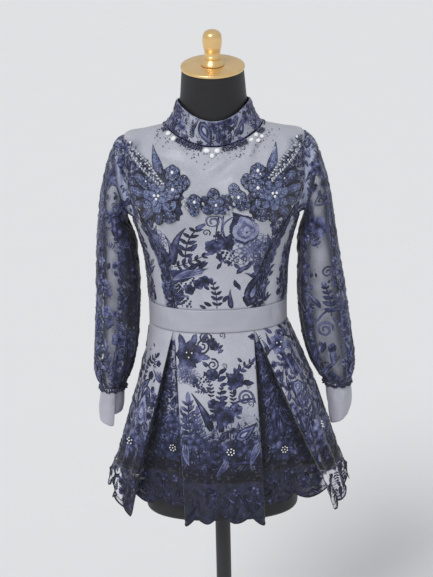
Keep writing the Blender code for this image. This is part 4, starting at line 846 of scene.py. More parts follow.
class Embroidery:
    """Motifs stitched on one ground, gathered into one mesh."""
    CELL = 0.002

    def __init__(self, ground):
        self.ground, self.shapes = ground, []
        high, wide = ground.grid.shape[:2]
        uv = measured(ground.grid)
        self.tall, self.broad = uv[..., 1].max(), uv[..., 0].max() - uv[..., 0].min()
        self.cells = (max(int(self.tall / self.CELL), 2), max(int(self.broad / self.CELL), 2))
        self.per_cell = np.array((self.cells[0] / (high - 1), self.cells[1] / (wide - (not ground.closed))))
        self.taken = np.zeros(self.cells, bool)
        # Threads painted darker as shade where they lie in a deep fold.
        self.painted_thread_shade = np.zeros((high, wide))                   # darker threads, where they lie in a deep fold

    def covered(self, rows, columns):
        """Cells of the cloth under some points."""
        i = np.clip((rows * self.per_cell[0]).astype(int), 0, self.cells[0] - 1)
        j = np.clip((columns * self.per_cell[1]).astype(int), -1, self.cells[1])
        return i, j % self.cells[1] if self.ground.closed else np.clip(j, 0, self.cells[1] - 1)

    def stitch(self, motif, row, column, turn=0.0, size=1.0, flip=1, tint=0.0, lift=0.0, crowd=1.0):
        """Lays a motif on the cloth, unless more than a share of its place is taken."""
        shape = MOTIFS[motif] if isinstance(motif, str) else motif
        points, faces, shade, measures = placed(shape, 0, 0, turn, size, flip, lift)
        away = points[:, :2] @ self.ground.stride(row, column).T
        rows, columns = row + away[:, 0], column + away[:, 1]
        cells = self.covered(rows, columns)
        if crowd < 1 and self.taken[cells].mean() > crowd:
            return
        here, out = self.ground.at(rows, columns)
        if crowd < 1 and np.linalg.norm(np.ptp(here, 0)) > 1.5 * np.linalg.norm(np.ptp(points[:, :2], 0)):
            return
        self.taken[cells] = True
        high, wide = self.painted_thread_shade.shape
        # Threads in deep folds are painted darker, as shade.
        painted_thread_shade = self.painted_thread_shade[np.clip(rows.astype(int), 0, high - 1), columns.astype(int) % wide]
        self.shapes.append((here + out * points[:, 2:], faces, shade + tint - painted_thread_shade, measures))

    def sew(self, motifs):
        """Lays each motif of a table from its foot, or its middle, to its tip, as seen from the front."""
        for motif, places in motifs.items():
            for x, z, tip_x, tip_z, *looks in places:
                tint, flip = [*looks, *(0, 1)[len(looks):]]
                row, column = (float(v[0]) for v in self.ground.locate((x / TENTHS,), (z / TENTHS,)))
                points = MOTIFS[motif][0][:, :2] * (flip, 1)
                tip = points[np.argmax(points[:, 1])]
                reach = np.array((tip_x / TENTHS - x / TENTHS, tip_z / TENTHS - z / TENTHS))
                turn = np.arctan2(reach[1], reach[0]) - np.arctan2(tip[1], tip[0])
                self.stitch(motif, row, column, turn, 1.16 * np.hypot(*reach) / np.hypot(*tip), flip, tint)

    def cord(self, rows, columns, width, tint=-0.2):
        """A cord sewn along a line of places on the cloth."""
        rows, columns = np.broadcast_arrays(np.asarray(rows, float), np.asarray(columns, float))
        here, out = self.ground.at(rows, columns)
        run = np.gradient(here, axis=0)
        run /= np.maximum(np.linalg.norm(run, axis=1, keepdims=True), 1e-9)
        aside = np.cross(out, run) * width / 2
        points = np.stack((here + aside - out * STITCH_SINK, here + out * CORD_PAD,
                           here - aside - out * STITCH_SINK), 1).reshape(-1, 3)
        k = np.arange(len(here) - 1)[:, None] * 3
        faces = np.concatenate((k + (0, 1, 4, 3), k + (1, 2, 5, 4)))
        measures = np.stack((np.repeat(travelled(here), 3), np.tile((0, 1, 2), len(here)) * width / 2), 1)
        self.shapes.append((points, faces, np.full(len(points), tint), measures))
        self.taken[self.covered(rows, columns)] = True

    def scatter(self, names, share, gap, seed, sway, size, margin, tint=0.0, crowd=0.3, turn=0.0):
        """Strews the named motifs about a gap apart, where share(point, row, column) lets them be."""
        names, rng = names.split(), np.random.default_rng(seed)
        high, wide = self.ground.grid.shape[:2]
        rows, columns = max(int(self.tall / gap), 1), max(int(self.broad / gap), 1)
        for i in range(rows):
            for j in range(columns):
                r = (i + rng.uniform(0.15, 0.85)) / rows * (high - 1)
                c = (j + rng.uniform(0.15, 0.85)) / columns * (wide - 1)
                name = names[rng.integers(len(names))]
                angle, scale, flip = turn + rng.normal(0, sway), rng.uniform(*size), rng.choice((-1, 1))
                shade, luck = rng.normal(0, 0.1), rng.uniform()
                inside = margin <= r <= high - 1 - margin
                inside = inside and (self.ground.closed or margin <= c <= wide - 1 - margin)
                point = self.ground.at(np.array((r,)), np.array((c,)))[0][0]
                if inside and luck < share(point, r / (high - 1), c / (wide - 1)):
                    self.stitch(name, r, c, angle, scale, flip, tint + shade, 0.0, crowd)

    def piece(self, name, finish):
        """The stitched threads as one mesh."""
        points, faces, tint, measures = together(self.shapes)
        return new_piece(name, points, faces, finish, measures, {"tint": tint})


thread_finish = embroidery_thread()
TENTHS = 10000                          # tenths of a millimetre in a metre
# Motifs on the centre front, placed one by one in tenths of a millimetre as seen from the front:
# x and z of the foot or middle, then of the tip, how much lighter, and -1 where it is mirrored.
CENTRE_MOTIFS = {
    "blade": ((-849, 11138, -640, 11860, 0.1), (-871, 11146, -889, 11684, 0.2, -1)),
    "blade_small": ((-923, 11164, -1014, 11517), (-542, 11038, -290, 11252, -0.15),
        (-895, 10278, -963, 10604, 0.1), (273, 10231, 246, 10571, 0.1), (-807, 10908, -544, 10974, 0.2)),
    "branch": ((-617, 11248, -370, 11970), (-840, 11103, -273, 11429, -0.05, -1),
        (-24, 10244, -116, 10827, -0.05, -1)),
    "fan": ((-877, 10812, -320, 11095, 0.25),),
    "flower": ((-255, 10827, -253, 10940, -0.1), (200, 11622, 202, 11771, -0.1),
        (-371, 10763, -368, 10867, -0.1), (-553, 10643, -550, 10748, -0.1)),
    "leaf": ((-352, 10850, -225, 10730, -0.1), (-121, 10309, -266, 10379, -0.1),
        (398, 10666, 335, 10831, -0.15), (376, 10955, 554, 11110, 0.25), (510, 11015, 665, 11155, 0.15),
        (593, 11142, 770, 11191, 0.1), (446, 11074, 341, 11185, 0.1), (137, 11694, 37, 11838, -0.1),
        (230, 11724, 330, 11840, -0.1), (-12, 11607, 92, 11695, -0.1), (0, 11432, 109, 11217, -0.1),
        (-362, 11088, -207, 11224, -0.15), (-412, 11036, -552, 10916, 0.2), (158, 11258, 269, 11168, -0.1),
        (76, 11211, 3, 11093, -0.1), (360, 10763, 443, 10627, -0.2), (-156, 10643, -258, 10737, -0.1),
        (99, 10367, 199, 10503), (-230, 10252, -353, 10314, -0.1), (-660, 11408, -760, 11521, -0.1),
        (-497, 11451, -396, 11613, -0.05), (497, 11301, 612, 11390, 0.1)),
    "berries": ((-682, 10710, -679, 10833, -0.05), (-515, 10844, -512, 10951, -0.1),
        (-736, 10582, -732, 10706, -0.1), (-595, 10347, -591, 10464), (111, 11323, 113, 11446),
        (280, 11415, 281, 11521), (-1081, 11506, -1075, 11632), (39, 11774, 41, 11880),
        (-838, 10482, -834, 10606), (238, 11212, 239, 11311)),
    "fern": ((-696, 10268, -817, 10819, -0.05),),
    "drop": ((576, 10246, 762, 10998, 0, -1),),
    "curl_small": ((384, 11256, 323, 11296, -0.1), (513, 11282, 575, 11308, -0.1),
        (-198, 11859, -149, 11914)),
    "dotted_drop": ((539, 11577, 405, 12340, 0.3, -1),),
    "scroll": ((-66, 12075, -62, 12237, 0.25),),
    "stem": ((57, 12187, 316, 11739, 0.1, -1), (146, 12200, 376, 11882, 0, -1)),
    "bloom": ((-84, 11552, -80, 11700, -0.15),),
    "filigree": ((654, 11447, 656, 11796, 0.1), (-1155, 11681, -1143, 11896, 0.1), (824, 11517, 824, 11741)),
}


def near_armhole(point, r, c):
    """Sprigs creep from the shoulder points and the armholes towards the plain chest."""
    x, z = abs(point[0]), point[2]
    low = 0.75 * spread(x, 0.128, 0.146) if z < 1.325 else 0.8 * spread(x, 0.15, 0.162) * (z < 1.347)
    return max(low, 0.75 * spread(x, 0.105, 0.12) if z < 1.21 else 0.0)


def by_seams(point, r, c):
    """A vine runs down each princess seam."""
    return 1.0 if min(c, 1 - c) < 0.075 and point[2] < 1.215 else 0.0


def on_back(point, r, c):
    """All over below the shoulders, but for two bare patches beside the zip's top."""
    bare = np.exp(-((abs(point[0]) - 0.05) / 0.035) ** 2) * (point[2] > 1.27)
    return 0.85 * (1 - bare) * (point[2] < 1.345)


SMALL = "leaf flower leaf curl_small leaf fern_small"
for part, grid in bodice.items():
    work = Embroidery(Ground(grid))
    if part == "front_centre":
        work.sew(CENTRE_MOTIFS)
        work.scatter("leaf blade_small leaf curl_small", by_seams, 0.0066, 13, 0.45, (0.7, 1.0), 1.0, 0.1,
                     0.4)
        work.scatter(SMALL, near_armhole, 0.0095, 11, 1.4, (0.7, 1.0), 2.0)
    elif part.startswith("front_side"):
        def from_seam(column):
            return column if part.endswith("left") else 1 - column
        inner, outer = (lambda p, r, c: from_seam(c) < 0.2), (lambda p, r, c: from_seam(c) > 0.45)
        work.scatter("leaf blade_small leaf", inner, 0.0066, 21, 0.4, (0.7, 1.0), 1.0, 0.1, 0.4)
        work.scatter("drop_small blade_small branch_small flower", outer, 0.015, 22, 0.3, (0.7, 1.0), 1.0,
                     0.05, 0.5)
        work.scatter(SMALL, outer, 0.0085, 23, 0.6, (0.55, 0.85), 1.0, 0.05)
    else:
        seed = 31 + len(part)
        work.scatter("branch fern drop bloom scroll blade", on_back, 0.05, seed, 0.7, (0.55, 0.85), 8.0, 0.05)
        work.scatter("branch_small drop_small flower curl berries", on_back, 0.024, seed + 1, 0.9,
                     (0.7, 1.0), 3.0)
        work.scatter(SMALL, on_back, 0.014, seed + 2, 1.2, (0.6, 0.9), 2.0)
    high, wide = grid.shape[:2]
    low = int(np.searchsorted(fine_rows, PRINCESS_ROW + PRINCESS_STEP))
    starts = {"front_centre": (low, low), "back_left": (low, 0), "back_right": (0, low)}.get(part, (0, 0))
    for column, top in zip((0.6, wide - 1.6), starts):
        work.cord(np.linspace(top, high - 1, 2 * (high - top)), column, SEAM_CORD, -0.25)
    stitched = work.piece("embroidery_" + part, thread_finish)
    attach(stitched, "root")
    width, length, area = bodice_cuts[part]


# ---- collar
# A stand collar cut as a ring of stiffened satin under embroidered tulle. It opens at the
# back, buckles into slanting folds as it takes the neck's curve, and its top edge is turned
# in by hand.
COLLAR_RINGS = (
    # half, z_side, y_front, z_front, y_back, z_back, square
    (0.095, 1.3778, -0.0792, 1.3442, 0.0655, 1.3757, 2.1),
    (0.0855, 1.3905, -0.0755, 1.357, 0.061, 1.39, 2.05), (0.0775, 1.407, -0.0728, 1.374, 0.0575, 1.408, 2.0),
    (0.0727, 1.4235, -0.0715, 1.3905, 0.0555, 1.426, 2.0),
)
COLLAR_ROWS, COLLAR_COLUMNS = 25, 161
COLLAR_CLOTH, COLLAR_GAP, COLLAR_ROLL = 0.0018, 0.0006, 0.001
COLLAR_CORD_BELOW, COLLAR_CORD_ABOVE = 0.0018, 0.002
COLLAR_CREASES = (
    # x0, z0, x1, z1, wide, high
    (-0.023, 1.396, 0.015, 1.364, 0.0042, 0.0022), (-0.01, 1.394, 0.012, 1.376, 0.004, -0.0018),
    (0.05, 1.402, 0.034, 1.373, 0.004, 0.002), (0.0175, 1.39, 0.0165, 1.346, 0.0026, 0.002),
    (0.029, 1.386, 0.031, 1.362, 0.0062, -0.0042), (-0.052, 1.41, -0.033, 1.364, 0.0045, 0.0018),
    (-0.043, 1.41, -0.025, 1.366, 0.0045, -0.0018), (0.06, 1.402, 0.062, 1.366, 0.0045, 0.0016),
    (-0.065, 1.405, -0.056, 1.37, 0.004, 0.0014),
)
COLLAR_BACK_CREASES = (
    (-0.055, 1.42, -0.035, 1.385, 0.005, 0.0018),
    (0.03, 1.42, 0.048, 1.385, 0.005, 0.0016),
    (-0.02, 1.42, -0.015, 1.39, 0.0045, -0.0014),
)
half_turn = pi - COLLAR_GAP / COLLAR_RINGS[0][4]
angles = np.linspace(-half_turn, half_turn, COLLAR_COLUMNS)
rows = []
for share in np.linspace(1, 0, COLLAR_ROWS):
    ring = between(COLLAR_RINGS, 3 * share)
    roll = COLLAR_ROLL * max(0, (share - 0.85) / 0.15) ** 2
    rows.append(oval(ring - np.array((roll, 0, -roll, 0, roll, 0, 0)), angles))
collar_grid = crumpled(np.array(rows), COLLAR_CREASES, -1)
collar_grid = crumpled(collar_grid, COLLAR_BACK_CREASES, 1)
lace_and_shade = 0.66 + 0.2 * np.sin(5 * angles[None, :] + 1.0) + np.zeros(collar_grid.shape[:2])
collar = new_cloth("stand_collar", collar_grid, lace_satin, COLLAR_CLOTH, values={"lace_and_shade": lace_and_shade})
work = Embroidery(Ground(collar_grid))


COLLAR_MOTIFS = {
    "drop": ((-267, 13903, 25, 13515, 0.3), (502, 13619, 718, 13818, 0.2)),
    "bloom": ((-659, 13840, -658, 13921, 0.25), (614, 13901, 617, 13998, 0.2), (917, 13773, 923, 13837, 0.1)),
    "fern": ((-430, 13578, -511, 13838, -0.05),),
    "branch_small": ((-884, 13729, -904, 13861), (803, 13679, 852, 13897)),
    "leaf": ((-720, 13910, -664, 14033, 0.1), (246, 13790, 420, 13842, -0.2), (279, 13704, 418, 13743, -0.2),
        (76, 13868, 281, 13839, 0.1), (369, 13865, 509, 13933, 0.2), (101, 13480, 71, 13648, 0.2)),
    "blade": ((-410, 13712, -369, 13966, 0.1),),
    "drop_small": ((-735, 14096, -661, 14198, 0.1),),
    "blade_small": ((-29, 13803, -129, 13923, 0.2), (687, 13968, 728, 14099, 0.1)),
    "fan": ((398, 13612, 591, 13708, 0.2),),
    "curl": ((310, 13568, 363, 13598),),
}
work.sew(COLLAR_MOTIFS)
work.scatter("drop_small bloom blade_small branch_small", lambda p, r, c: 0.9 * (p[1] > -0.02), 0.017,
             41, 0.7, (0.5, 0.8), 4.0, 0.15, turn=0.4)
work.scatter("leaf flower blade_small leaf", lambda p, r, c: 0.8 * (abs(p[0] + 0.045) > 0.008), 0.0085,
             42, 1.0, (0.6, 0.95), 1.5, 0.1, turn=0.2)
columns = np.linspace(0, COLLAR_COLUMNS - 1, 2 * COLLAR_COLUMNS - 1)
work.cord(COLLAR_ROWS - 1.4, columns, COLLAR_CORD_BELOW, 0.3)
work.cord(0.5, columns, COLLAR_CORD_ABOVE, 1.0)
collar_work = work.piece("embroidery_collar", thread_finish)
for piece in (collar, collar_work):
    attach(piece, "root")
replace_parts(collar, "collar")


# ---- back zip
# A concealed zip: two folded edges of tape that meet over hidden teeth, from the neck seam
# down past the waistband. Its slider is out of sight inside the collar.
ZIP_END, ZIP_KNEE = 0.9, 0.9364


def zip_tape():
    """Woven polyester tape: a fine rib along its length, dyed to match the satin."""
    finish, tree, shader = new_finish("woven_zip_tape", Roughness=0.7, Sheen_Weight=0.2)
    place = add(tree, "UVMap", uv_map="cloth")
    ribs = add(tree, "TexWave", {"Vector": place, "Scale": 260.0}, "Fac", bands_direction="X")  # 1.2 mm
    shade = add(tree, "Mix", {0: ribs, 6: "#7d7f95", 7: "#9a9cb0"})
    bump = add(tree, "Bump", {"Height": ribs, "Strength": 0.4, "Distance": 0.0003})
    plug(shader, Base_Color=shade, Normal=bump)
    return finish


PEPLUM_RINGS = (
    # z, mid, half, y_front, y_back, square
    (WAIST_BOTTOM, 0.0, WAIST_HALF, WAIST_FRONT, WAIST_BACK, WAIST_SQUARE),
    (0.914, 0.0075, 0.158, -0.124, 0.112, 2.25),
    (0.83, 0.013, 0.185, -0.14, 0.136, 2.35),
    (0.748, 0.0145, 0.209, -0.152, 0.155, 2.4),
    (0.676, 0.015, 0.231, -0.16, 0.169, 2.4),
    (0.59, 0.014, 0.256, -0.168, 0.18, 2.4),
)


def peplum_oval(z):
    heights = [ring[0] for ring in PEPLUM_RINGS]
    place = float(np.interp(-z, [-h for h in heights], range(len(heights))))
    return between([ring[1:] for ring in PEPLUM_RINGS], place)


across = np.array((1.0, 0.75, 0.45, 0.12, 0.0, -0.12, -0.45, -0.75, -1.0))
groove = 0.0006 * (1 - np.abs(across)) ** 3
rows = [body_ring(row, pi + across * seam_angle(row, pi, ZIP_HALF)) for row in np.linspace(0, WAIST_ROW, 90)]
for z in np.concatenate(([WAIST_BOTTOM, 0.9546, ZIP_KNEE], np.linspace(ZIP_KNEE, ZIP_END + SEAM, 6)[1:])):
    rows.append(np.stack((-across * -ZIP_HALF, np.full(9, peplum_oval(z)[3]), np.full(9, z)), 1))
zip_grid = np.array(rows)
zip_grid = zip_grid[:, ::-1] if zip_grid[0, 0, 0] < zip_grid[0, -1, 0] else zip_grid
zip_grid[..., 0] = np.where((np.arange(len(zip_grid)) >= 90)[:, None], np.abs(zip_grid[..., 0])
                            * np.sign(zip_grid[:1, :, 0]), zip_grid[..., 0])
zip_grid[..., 1] -= groove
back_zip = new_cloth("concealed_zip", zip_grid, zip_tape(), CLOTH)
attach(back_zip, "root")
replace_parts(back_zip, "back_zip")


# ---- waistband
# A straight band of doubled satin between the bodice and the peplum, open at the zip, with
# soft drag creases and a line of seam shadow along its edges.
BAND_CLOTH, BAND_ROLL = 0.002, 0.0005
BAND_CREASES = (
    # x0, z0, x1, z1, wide, high
    (0.118, 1.019, 0.13, 0.978, 0.004, 0.0016), (0.106, 1.017, 0.112, 0.98, 0.0045, -0.0014),
    (-0.1, 1.019, -0.096, 0.976, 0.0035, 0.0013), (-0.07, 1.015, -0.02, 1.008, 0.006, 0.0008),
    (-0.03, 0.985, 0.04, 0.988, 0.005, -0.0008), (0.05, 1.012, 0.085, 0.999, 0.005, 0.0009),
)
BAND_BACK_CREASES = (
    (-0.09, 1.015, -0.05, 0.985, 0.005, 0.0012),
    (0.04, 1.015, 0.07, 0.985, 0.005, 0.0012),
    (-0.03, 1.0, -0.01, 0.995, 0.005, -0.001),
)
reach = asin(((ZIP_HALF + SEAM) / WAIST_HALF) ** (WAIST_SQUARE / 2))
angles = np.linspace(-pi + reach, pi - reach, 241)
rows = []
for share in np.linspace(0, 1, 17):
    z = WAIST_TOP - SEAM + (WAIST_BOTTOM - WAIST_TOP + 2 * SEAM) * share
    proud = SEAM + BAND_ROLL * (2 * share - 1) ** 4 - 0.0012 * (abs(2 * share - 1) > 0.97)
    ring = (WAIST_HALF + proud, z, WAIST_FRONT - proud, z, WAIST_BACK + proud, z, WAIST_SQUARE)
    rows.append(oval(ring, angles))
band_grid = crumpled(crumpled(np.array(rows), BAND_CREASES, -1), BAND_BACK_CREASES, 1)
waistband = new_cloth("waistband_satin", band_grid, satin_finish, BAND_CLOTH)
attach(waistband, "root")
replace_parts(waistband, "waistband")


# ---- peplum
# The short skirt below the waistband, satin under embroidered tulle: one front with a box
# panel between two deep inverted pleats, and two backs with a pleat each. Bold motifs are
# sprinkled above, and close embroidery darkens the last hand's breadth above the hem.
HEM = 0.676
PLEATS = {
    # name           (fold, side fold, depth, under) at the waist, then at the hem
    "front_right": ((-0.0885, -0.0915, 0.003, 0.0005), (-0.08, -0.17, 0.043, 0.008)),
    "front_left": ((0.0705, 0.0735, 0.003, 0.0005), (0.084, 0.201, 0.043, 0.008)),
    "back_right": ((-0.0785, -0.0815, 0.003, 0.0005), (-0.083, -0.17, 0.04, 0.008)),
    "back_left": ((0.0785, 0.0815, 0.003, 0.0005), (0.086, 0.19, 0.04, 0.008)),
}
PLEAT_OPENING, PLEAT_SWING, UNDERLAY_SHARE = 0.8, 1.25, 0.85
FRONT_CENTRE = -0.004
PEPLUM_COLUMNS = (26, 6, 26, 6, 44)
# Soft flutes where the skirt stands away: stretch of the half (0 box panel, 4 side panel),
# where in it, how wide, how far out at the hem.
FLUTES = ((0, 0.3, 0.16, 0.004), (0, 0.72, 0.14, -0.0035), (4, 0.1, 0.06, 0.0035), (4, 0.24, 0.08, -0.004),
          (4, 0.42, 0.09, 0.005), (4, 0.62, 0.09, -0.0045), (4, 0.82, 0.08, 0.004))


def peplum_curve(z, x, front):
    """Points of the unpleated peplum at distances across, on its front or its back."""
    middle, half, y_front, y_back, square = peplum_oval(z)
    reach = np.minimum(np.abs(x - middle) / half, 1.0)
    return np.stack((x, (y_front if front else y_back) * (1 - reach ** square) ** (1 / square)), -1)


def stretch(start, end, count):
    return start + (end - start) * (np.arange(1, count + 1) / count)[:, None]


def peplum_half(z, front, hand, columns, start_x):
    """Plan of half of the peplum's front or back, from its centre line to the side seam."""
    middle, half, y_front, y_back, square = peplum_oval(z)
    drop = (WAIST_BOTTOM - z) / (WAIST_BOTTOM - HEM)
    at_waist, at_hem = PLEATS[("front_" if front else "back_") + ("left" if hand > 0 else "right")]
    fold, side_fold, depth, under = [w + (h - w) * drop for w, h in zip(at_waist, at_hem)]
    depth = at_waist[2] + (at_hem[2] - at_waist[2]) * min(drop, PLEAT_SWING) ** PLEAT_OPENING
    inward = 1 if front else -1
    box, back_1, underlay, back_2, side = columns
    points = peplum_curve(z, np.linspace(start_x, fold, box + 1), front)
    corner_1 = points[-1] + np.array((-hand * under, inward * depth))
    edge = peplum_curve(z, np.float64(side_fold), front)
    slope = edge - peplum_curve(z, np.float64(fold), front)
    slope /= np.linalg.norm(slope)
    normal = np.array((-slope[1], slope[0])) * hand * inward
    corner_2 = edge + normal * depth * UNDERLAY_SHARE + slope * under
    first = asin(min(abs(side_fold - middle) / half, 1.0) ** (square / 2))
    last = pi / 2 - SEAM / 2 / max(abs(y_front), abs(y_back))
    turn = first + (last - first) * np.arange(1, side + 1) / side
    panel = np.stack((middle + hand * half * np.sin(turn) ** (2 / square),
                      (y_front if front else y_back) * np.cos(turn) ** (2 / square)), -1)
    plan = np.concatenate((points, stretch(points[-1], corner_1, back_1),
                           stretch(corner_1, corner_2, underlay), stretch(corner_2, edge, back_2), panel))
    for _ in range(3):                                      # the folds are pressed, not knife sharp
        plan[1:-1] = plan[1:-1] / 2 + (plan[:-2] + plan[2:]) / 4
    return plan


def half_stations(columns):
    """Which stretch of a half each column lies in, and how far along it."""
    places = [(0, 0.0)]
    for k, count in enumerate(columns):
        places += [(k, (j + 1) / count) for j in range(count)]
    return np.array(places)


def centre_gap(z, front):
    if front:
        return 0.0
    return ZIP_HALF + SEAM if z > ZIP_END else SEAM / 2


def join_halves(piece, half):
    """A piece's values going round from left to right seen from outside."""
    if piece == "front":
        return np.concatenate((half(-1)[::-1], half(1)[1:]))
    return half(1)[::-1] if piece == "back_left" else half(-1)


def peplum_row(z, piece, columns):
    """Plan of one piece of the peplum at one height, with its soft flutes."""
    front = piece == "front"
    gap = centre_gap(z, front)
    drop = (WAIST_BOTTOM - z) / (WAIST_BOTTOM - HEM)
    places = half_stations(columns)

    def half(hand):
        plan = peplum_half(z, front, hand, columns, FRONT_CENTRE if front else hand * gap)
        push = sum(high * np.exp(-((places[:, 1] - at + 0.03 * hand) / wide) ** 2) * (places[:, 0] == where)
                   for where, at, wide, high in FLUTES) * min(drop, 1.3) ** 1.3
        ends = np.minimum(1, np.minimum(np.arange(len(plan)), np.arange(len(plan))[::-1]) / 6)
        run = np.gradient(plan, axis=0)
        run /= np.maximum(np.linalg.norm(run, axis=1, keepdims=True), 1e-9)
        out = np.stack((run[:, 1], -run[:, 0]), 1) * hand * (1 if front else -1)
        return plan + out * (push * ends)[:, None]
    return join_halves(piece, half)


def peplum_grid(part, heights):
    """Points of one piece of the peplum, row by row downwards."""
    return np.array([np.insert(peplum_row(z, part, PEPLUM_COLUMNS), 2, z, axis=1) for z in heights])


PEPLUM_MOTIFS = {
    "rosette": ((-599, 9324, -593, 9580, -0.3), (189, 7415, 193, 7634, -0.2), (-970, 7300, -964, 7532, -0.2),
        (1278, 7205, 1282, 7439, -0.15), (-1853, 7365, -1854, 7578, 0.1), (1188, 9397, 1196, 9591, 0.2),
        (2032, 7627, 2045, 7826, 0.2)),
    "leaf": ((-667, 9424, -802, 9681, 0.25), (-512, 9461, -473, 9719, 0.3), (-432, 9320, -193, 9278, 0.3, -1),
        (-214, 9114, -295, 9193), (-17, 8953, 129, 9055, -0.1), (-48, 8815, 126, 8903, -0.1),
        (0, 8726, 140, 8765, -0.1), (264, 8747, 165, 8667, -0.1), (487, 8731, 669, 8751, -0.05),
        (-17, 7972, 49, 7830, -0.1), (416, 7307, 521, 7503, 0.25), (526, 7186, 620, 7398, 0.3),
        (5, 7101, -152, 7198, 0.2), (215, 7082, 385, 7134, 0.3), (-1234, 7190, -1158, 7343, 0.3),
        (-1135, 7119, -963, 7169, 0.4), (1229, 6951, 1403, 7095, 0.3), (-321, 9547, -241, 9725, -0.1),
        (-246, 9536, -91, 9625, -0.15), (-12, 9429, 73, 9507, -0.1), (-451, 9080, -546, 9182, 0.1),
        (-219, 8915, -305, 9007, -0.1), (-95, 8851, 5, 8961, -0.1), (-557, 8738, -432, 8846, -0.05),
        (-392, 8663, -473, 8770, -0.05), (137, 8626, -15, 8588, -0.1), (162, 8515, -17, 8472, -0.1),
        (146, 8405, -31, 8361, -0.1), (365, 8903, 374, 9059, -0.15), (231, 8864, 139, 8983, -0.15),
        (418, 8754, 608, 8783, -0.15), (282, 8678, 279, 8526, -0.15), (-268, 8588, -349, 8692, -0.05),
        (563, 9033, 643, 9113, -0.1), (-96, 8213, -206, 8256, -0.1), (123, 8026, 264, 8079, -0.1),
        (-757, 9165, -816, 9050, 0.2), (455, 9176, 373, 9259, -0.1)),
    "curl": ((-330, 9494, -207, 9425, -0.1), (-271, 9641, -150, 9694, -0.1),
        (-130, 9136, -29, 9193, -0.1, -1), (-162, 8943, -160, 9059, -0.1), (-255, 7334, -421, 7432, -0.1),
        (-139, 7520, -26, 7576, -0.05)),
    "berries": ((-115, 9549, -113, 9641), (-5, 9469, -4, 9548), (-495, 8775, -492, 8885),
        (-390, 8724, -388, 8806), (-303, 8864, -301, 8961), (-681, 8845, -678, 8941)),
    "curl_small": ((64, 9691, 120, 9715, -0.1), (605, 8344, 661, 8367)),
    "filigree": ((-734, 8936, -730, 9109, -0.05), (-532, 8869, -528, 9015), (1405, 9319, 1412, 9431),
        (-662, 9038, -658, 9201, 0.1)),
    "bloom": ((308, 8823, 311, 8982, -0.15), (109, 8128, 113, 8303, -0.15), (-11, 8255, -8, 8372, -0.1),
        (323, 8246, 326, 8358)),
    "branch": ((210, 8804, 696, 9187, -0.05), (-187, 8478, -220, 8851, -0.1, -1), (17, 8240, 41, 8725, -0.1),
        (255, 8333, 208, 8694, -0.1, -1), (-1104, 7744, -1107, 8186, -0.05), (-991, 8288, -993, 8779, -0.05),
        (1024, 8192, 904, 9156, 0.1), (-1533, 8619, -1509, 9104, -0.05), (1837, 7935, 1678, 8585, 0.2),
        (2273, 6808, 2162, 7253, 0.2)),
    "scroll": ((501, 8472, 504, 8615, 0.1), (-1678, 7589, -1676, 7725, 0.1), (1692, 8177, 1696, 8294, 0.2)),
    "stem": ((696, 8447, 191, 7946, 0.1, -1), (711, 8056, 646, 7610, 0.1)),
    "flower": ((-148, 8367, -145, 8464, -0.1), (-1384, 8770, -1383, 8849, -0.1), (-94, 9496, -92, 9588, -0.1),
        (-149, 8934, -146, 9037, 0.1)),
    "drop": ((283, 7637, 692, 7939, 0.35, -1), (-1737, 7955, -1756, 8417, 0.1, -1),
        (2050, 6839, 1971, 7301, 0.3)),
    "fern": ((-572, 7555, -670, 8471, 0.15), (-416, 7631, -485, 8249, 0.2)),
    "blade": ((-202, 7832, -502, 8482, -0.1, -1), (7, 7802, -162, 8367, -0.05, -1),
        (1100, 7735, 1139, 8286, 0.2), (1251, 9225, 1411, 8706, 0.35), (1383, 9185, 1694, 8529, 0.3, -1),
        (1436, 8570, 1569, 8083, 0.25), (1942, 7367, 1834, 7833, 0.3), (1765, 7592, 1686, 7993, 0.3)),
    "fan": ((-654, 7106, -742, 7531, 0.3), (1880, 7337, 2102, 7391, 0.45)),
    "blade_small": ((-262, 7059, -36, 7116, -0.2), (-1517, 9611, -1643, 9211, 0.3),
        (1062, 9631, 894, 9802, 0.4), (-627, 8186, -567, 8357, 0.2)),
    "drop_small": ((-542, 7097, -425, 7288, 0.1),),
    "branch_small": ((-1458, 8900, -1186, 9219, -0.1), (-1684, 7322, -1527, 7647, 0.1)),
    "dotted_drop": ((-1615, 7695, -1664, 8415, 0.2), (1558, 8659, 1429, 8336, 0.2)),
}
heights = WAIST_BOTTOM - (WAIST_BOTTOM - HEM) * np.linspace(0, 1, 53)
peplum_cuts = {"front": (0.9, 0.3, 0.184), "back_left": (0.47, 0.3, 0.095), "back_right": (0.43, 0.3, 0.0865)}
peplum_pieces = {}


def pleat_shade(hand):
    """Lace share in the pleats: close all over, and past 1, as painted shade, where a return lies in shadow.
    """
    k, share = half_stations(PEPLUM_COLUMNS).T
    near, clear = (1.9, 1.0) if hand > 0 else (1.1, 0.5)
    return np.interp(k + share, (0.97, 1.15, 1.9, 2.12, 2.3, 2.55, 2.8, 3.2, 3.85, 4.0),
                     (0, 1.8, 2.0, near, clear, clear, 1.75, 2.0, 1.6, 0))


def towards_hem(point, r, c):
    """Few sprigs below the waist, more on the side panels, and all over by the hem."""
    on_side = 0.5 * (point[0] > 0.09) + 0.35 * (point[0] < -0.1) * spread(r, 0.15, 0.4)
    return 0.06 + on_side + 0.8 * spread(r, 0.55, 0.8)


def on_side_panels(point, r, c):
    """Beyond the box panel, thinner towards the waist on the wearer's right."""
    return 0.9 * (abs(point[0] + 0.004) > 0.092) * (1 if point[0] > 0 else 0.7 * spread(r, 0.2, 0.6))


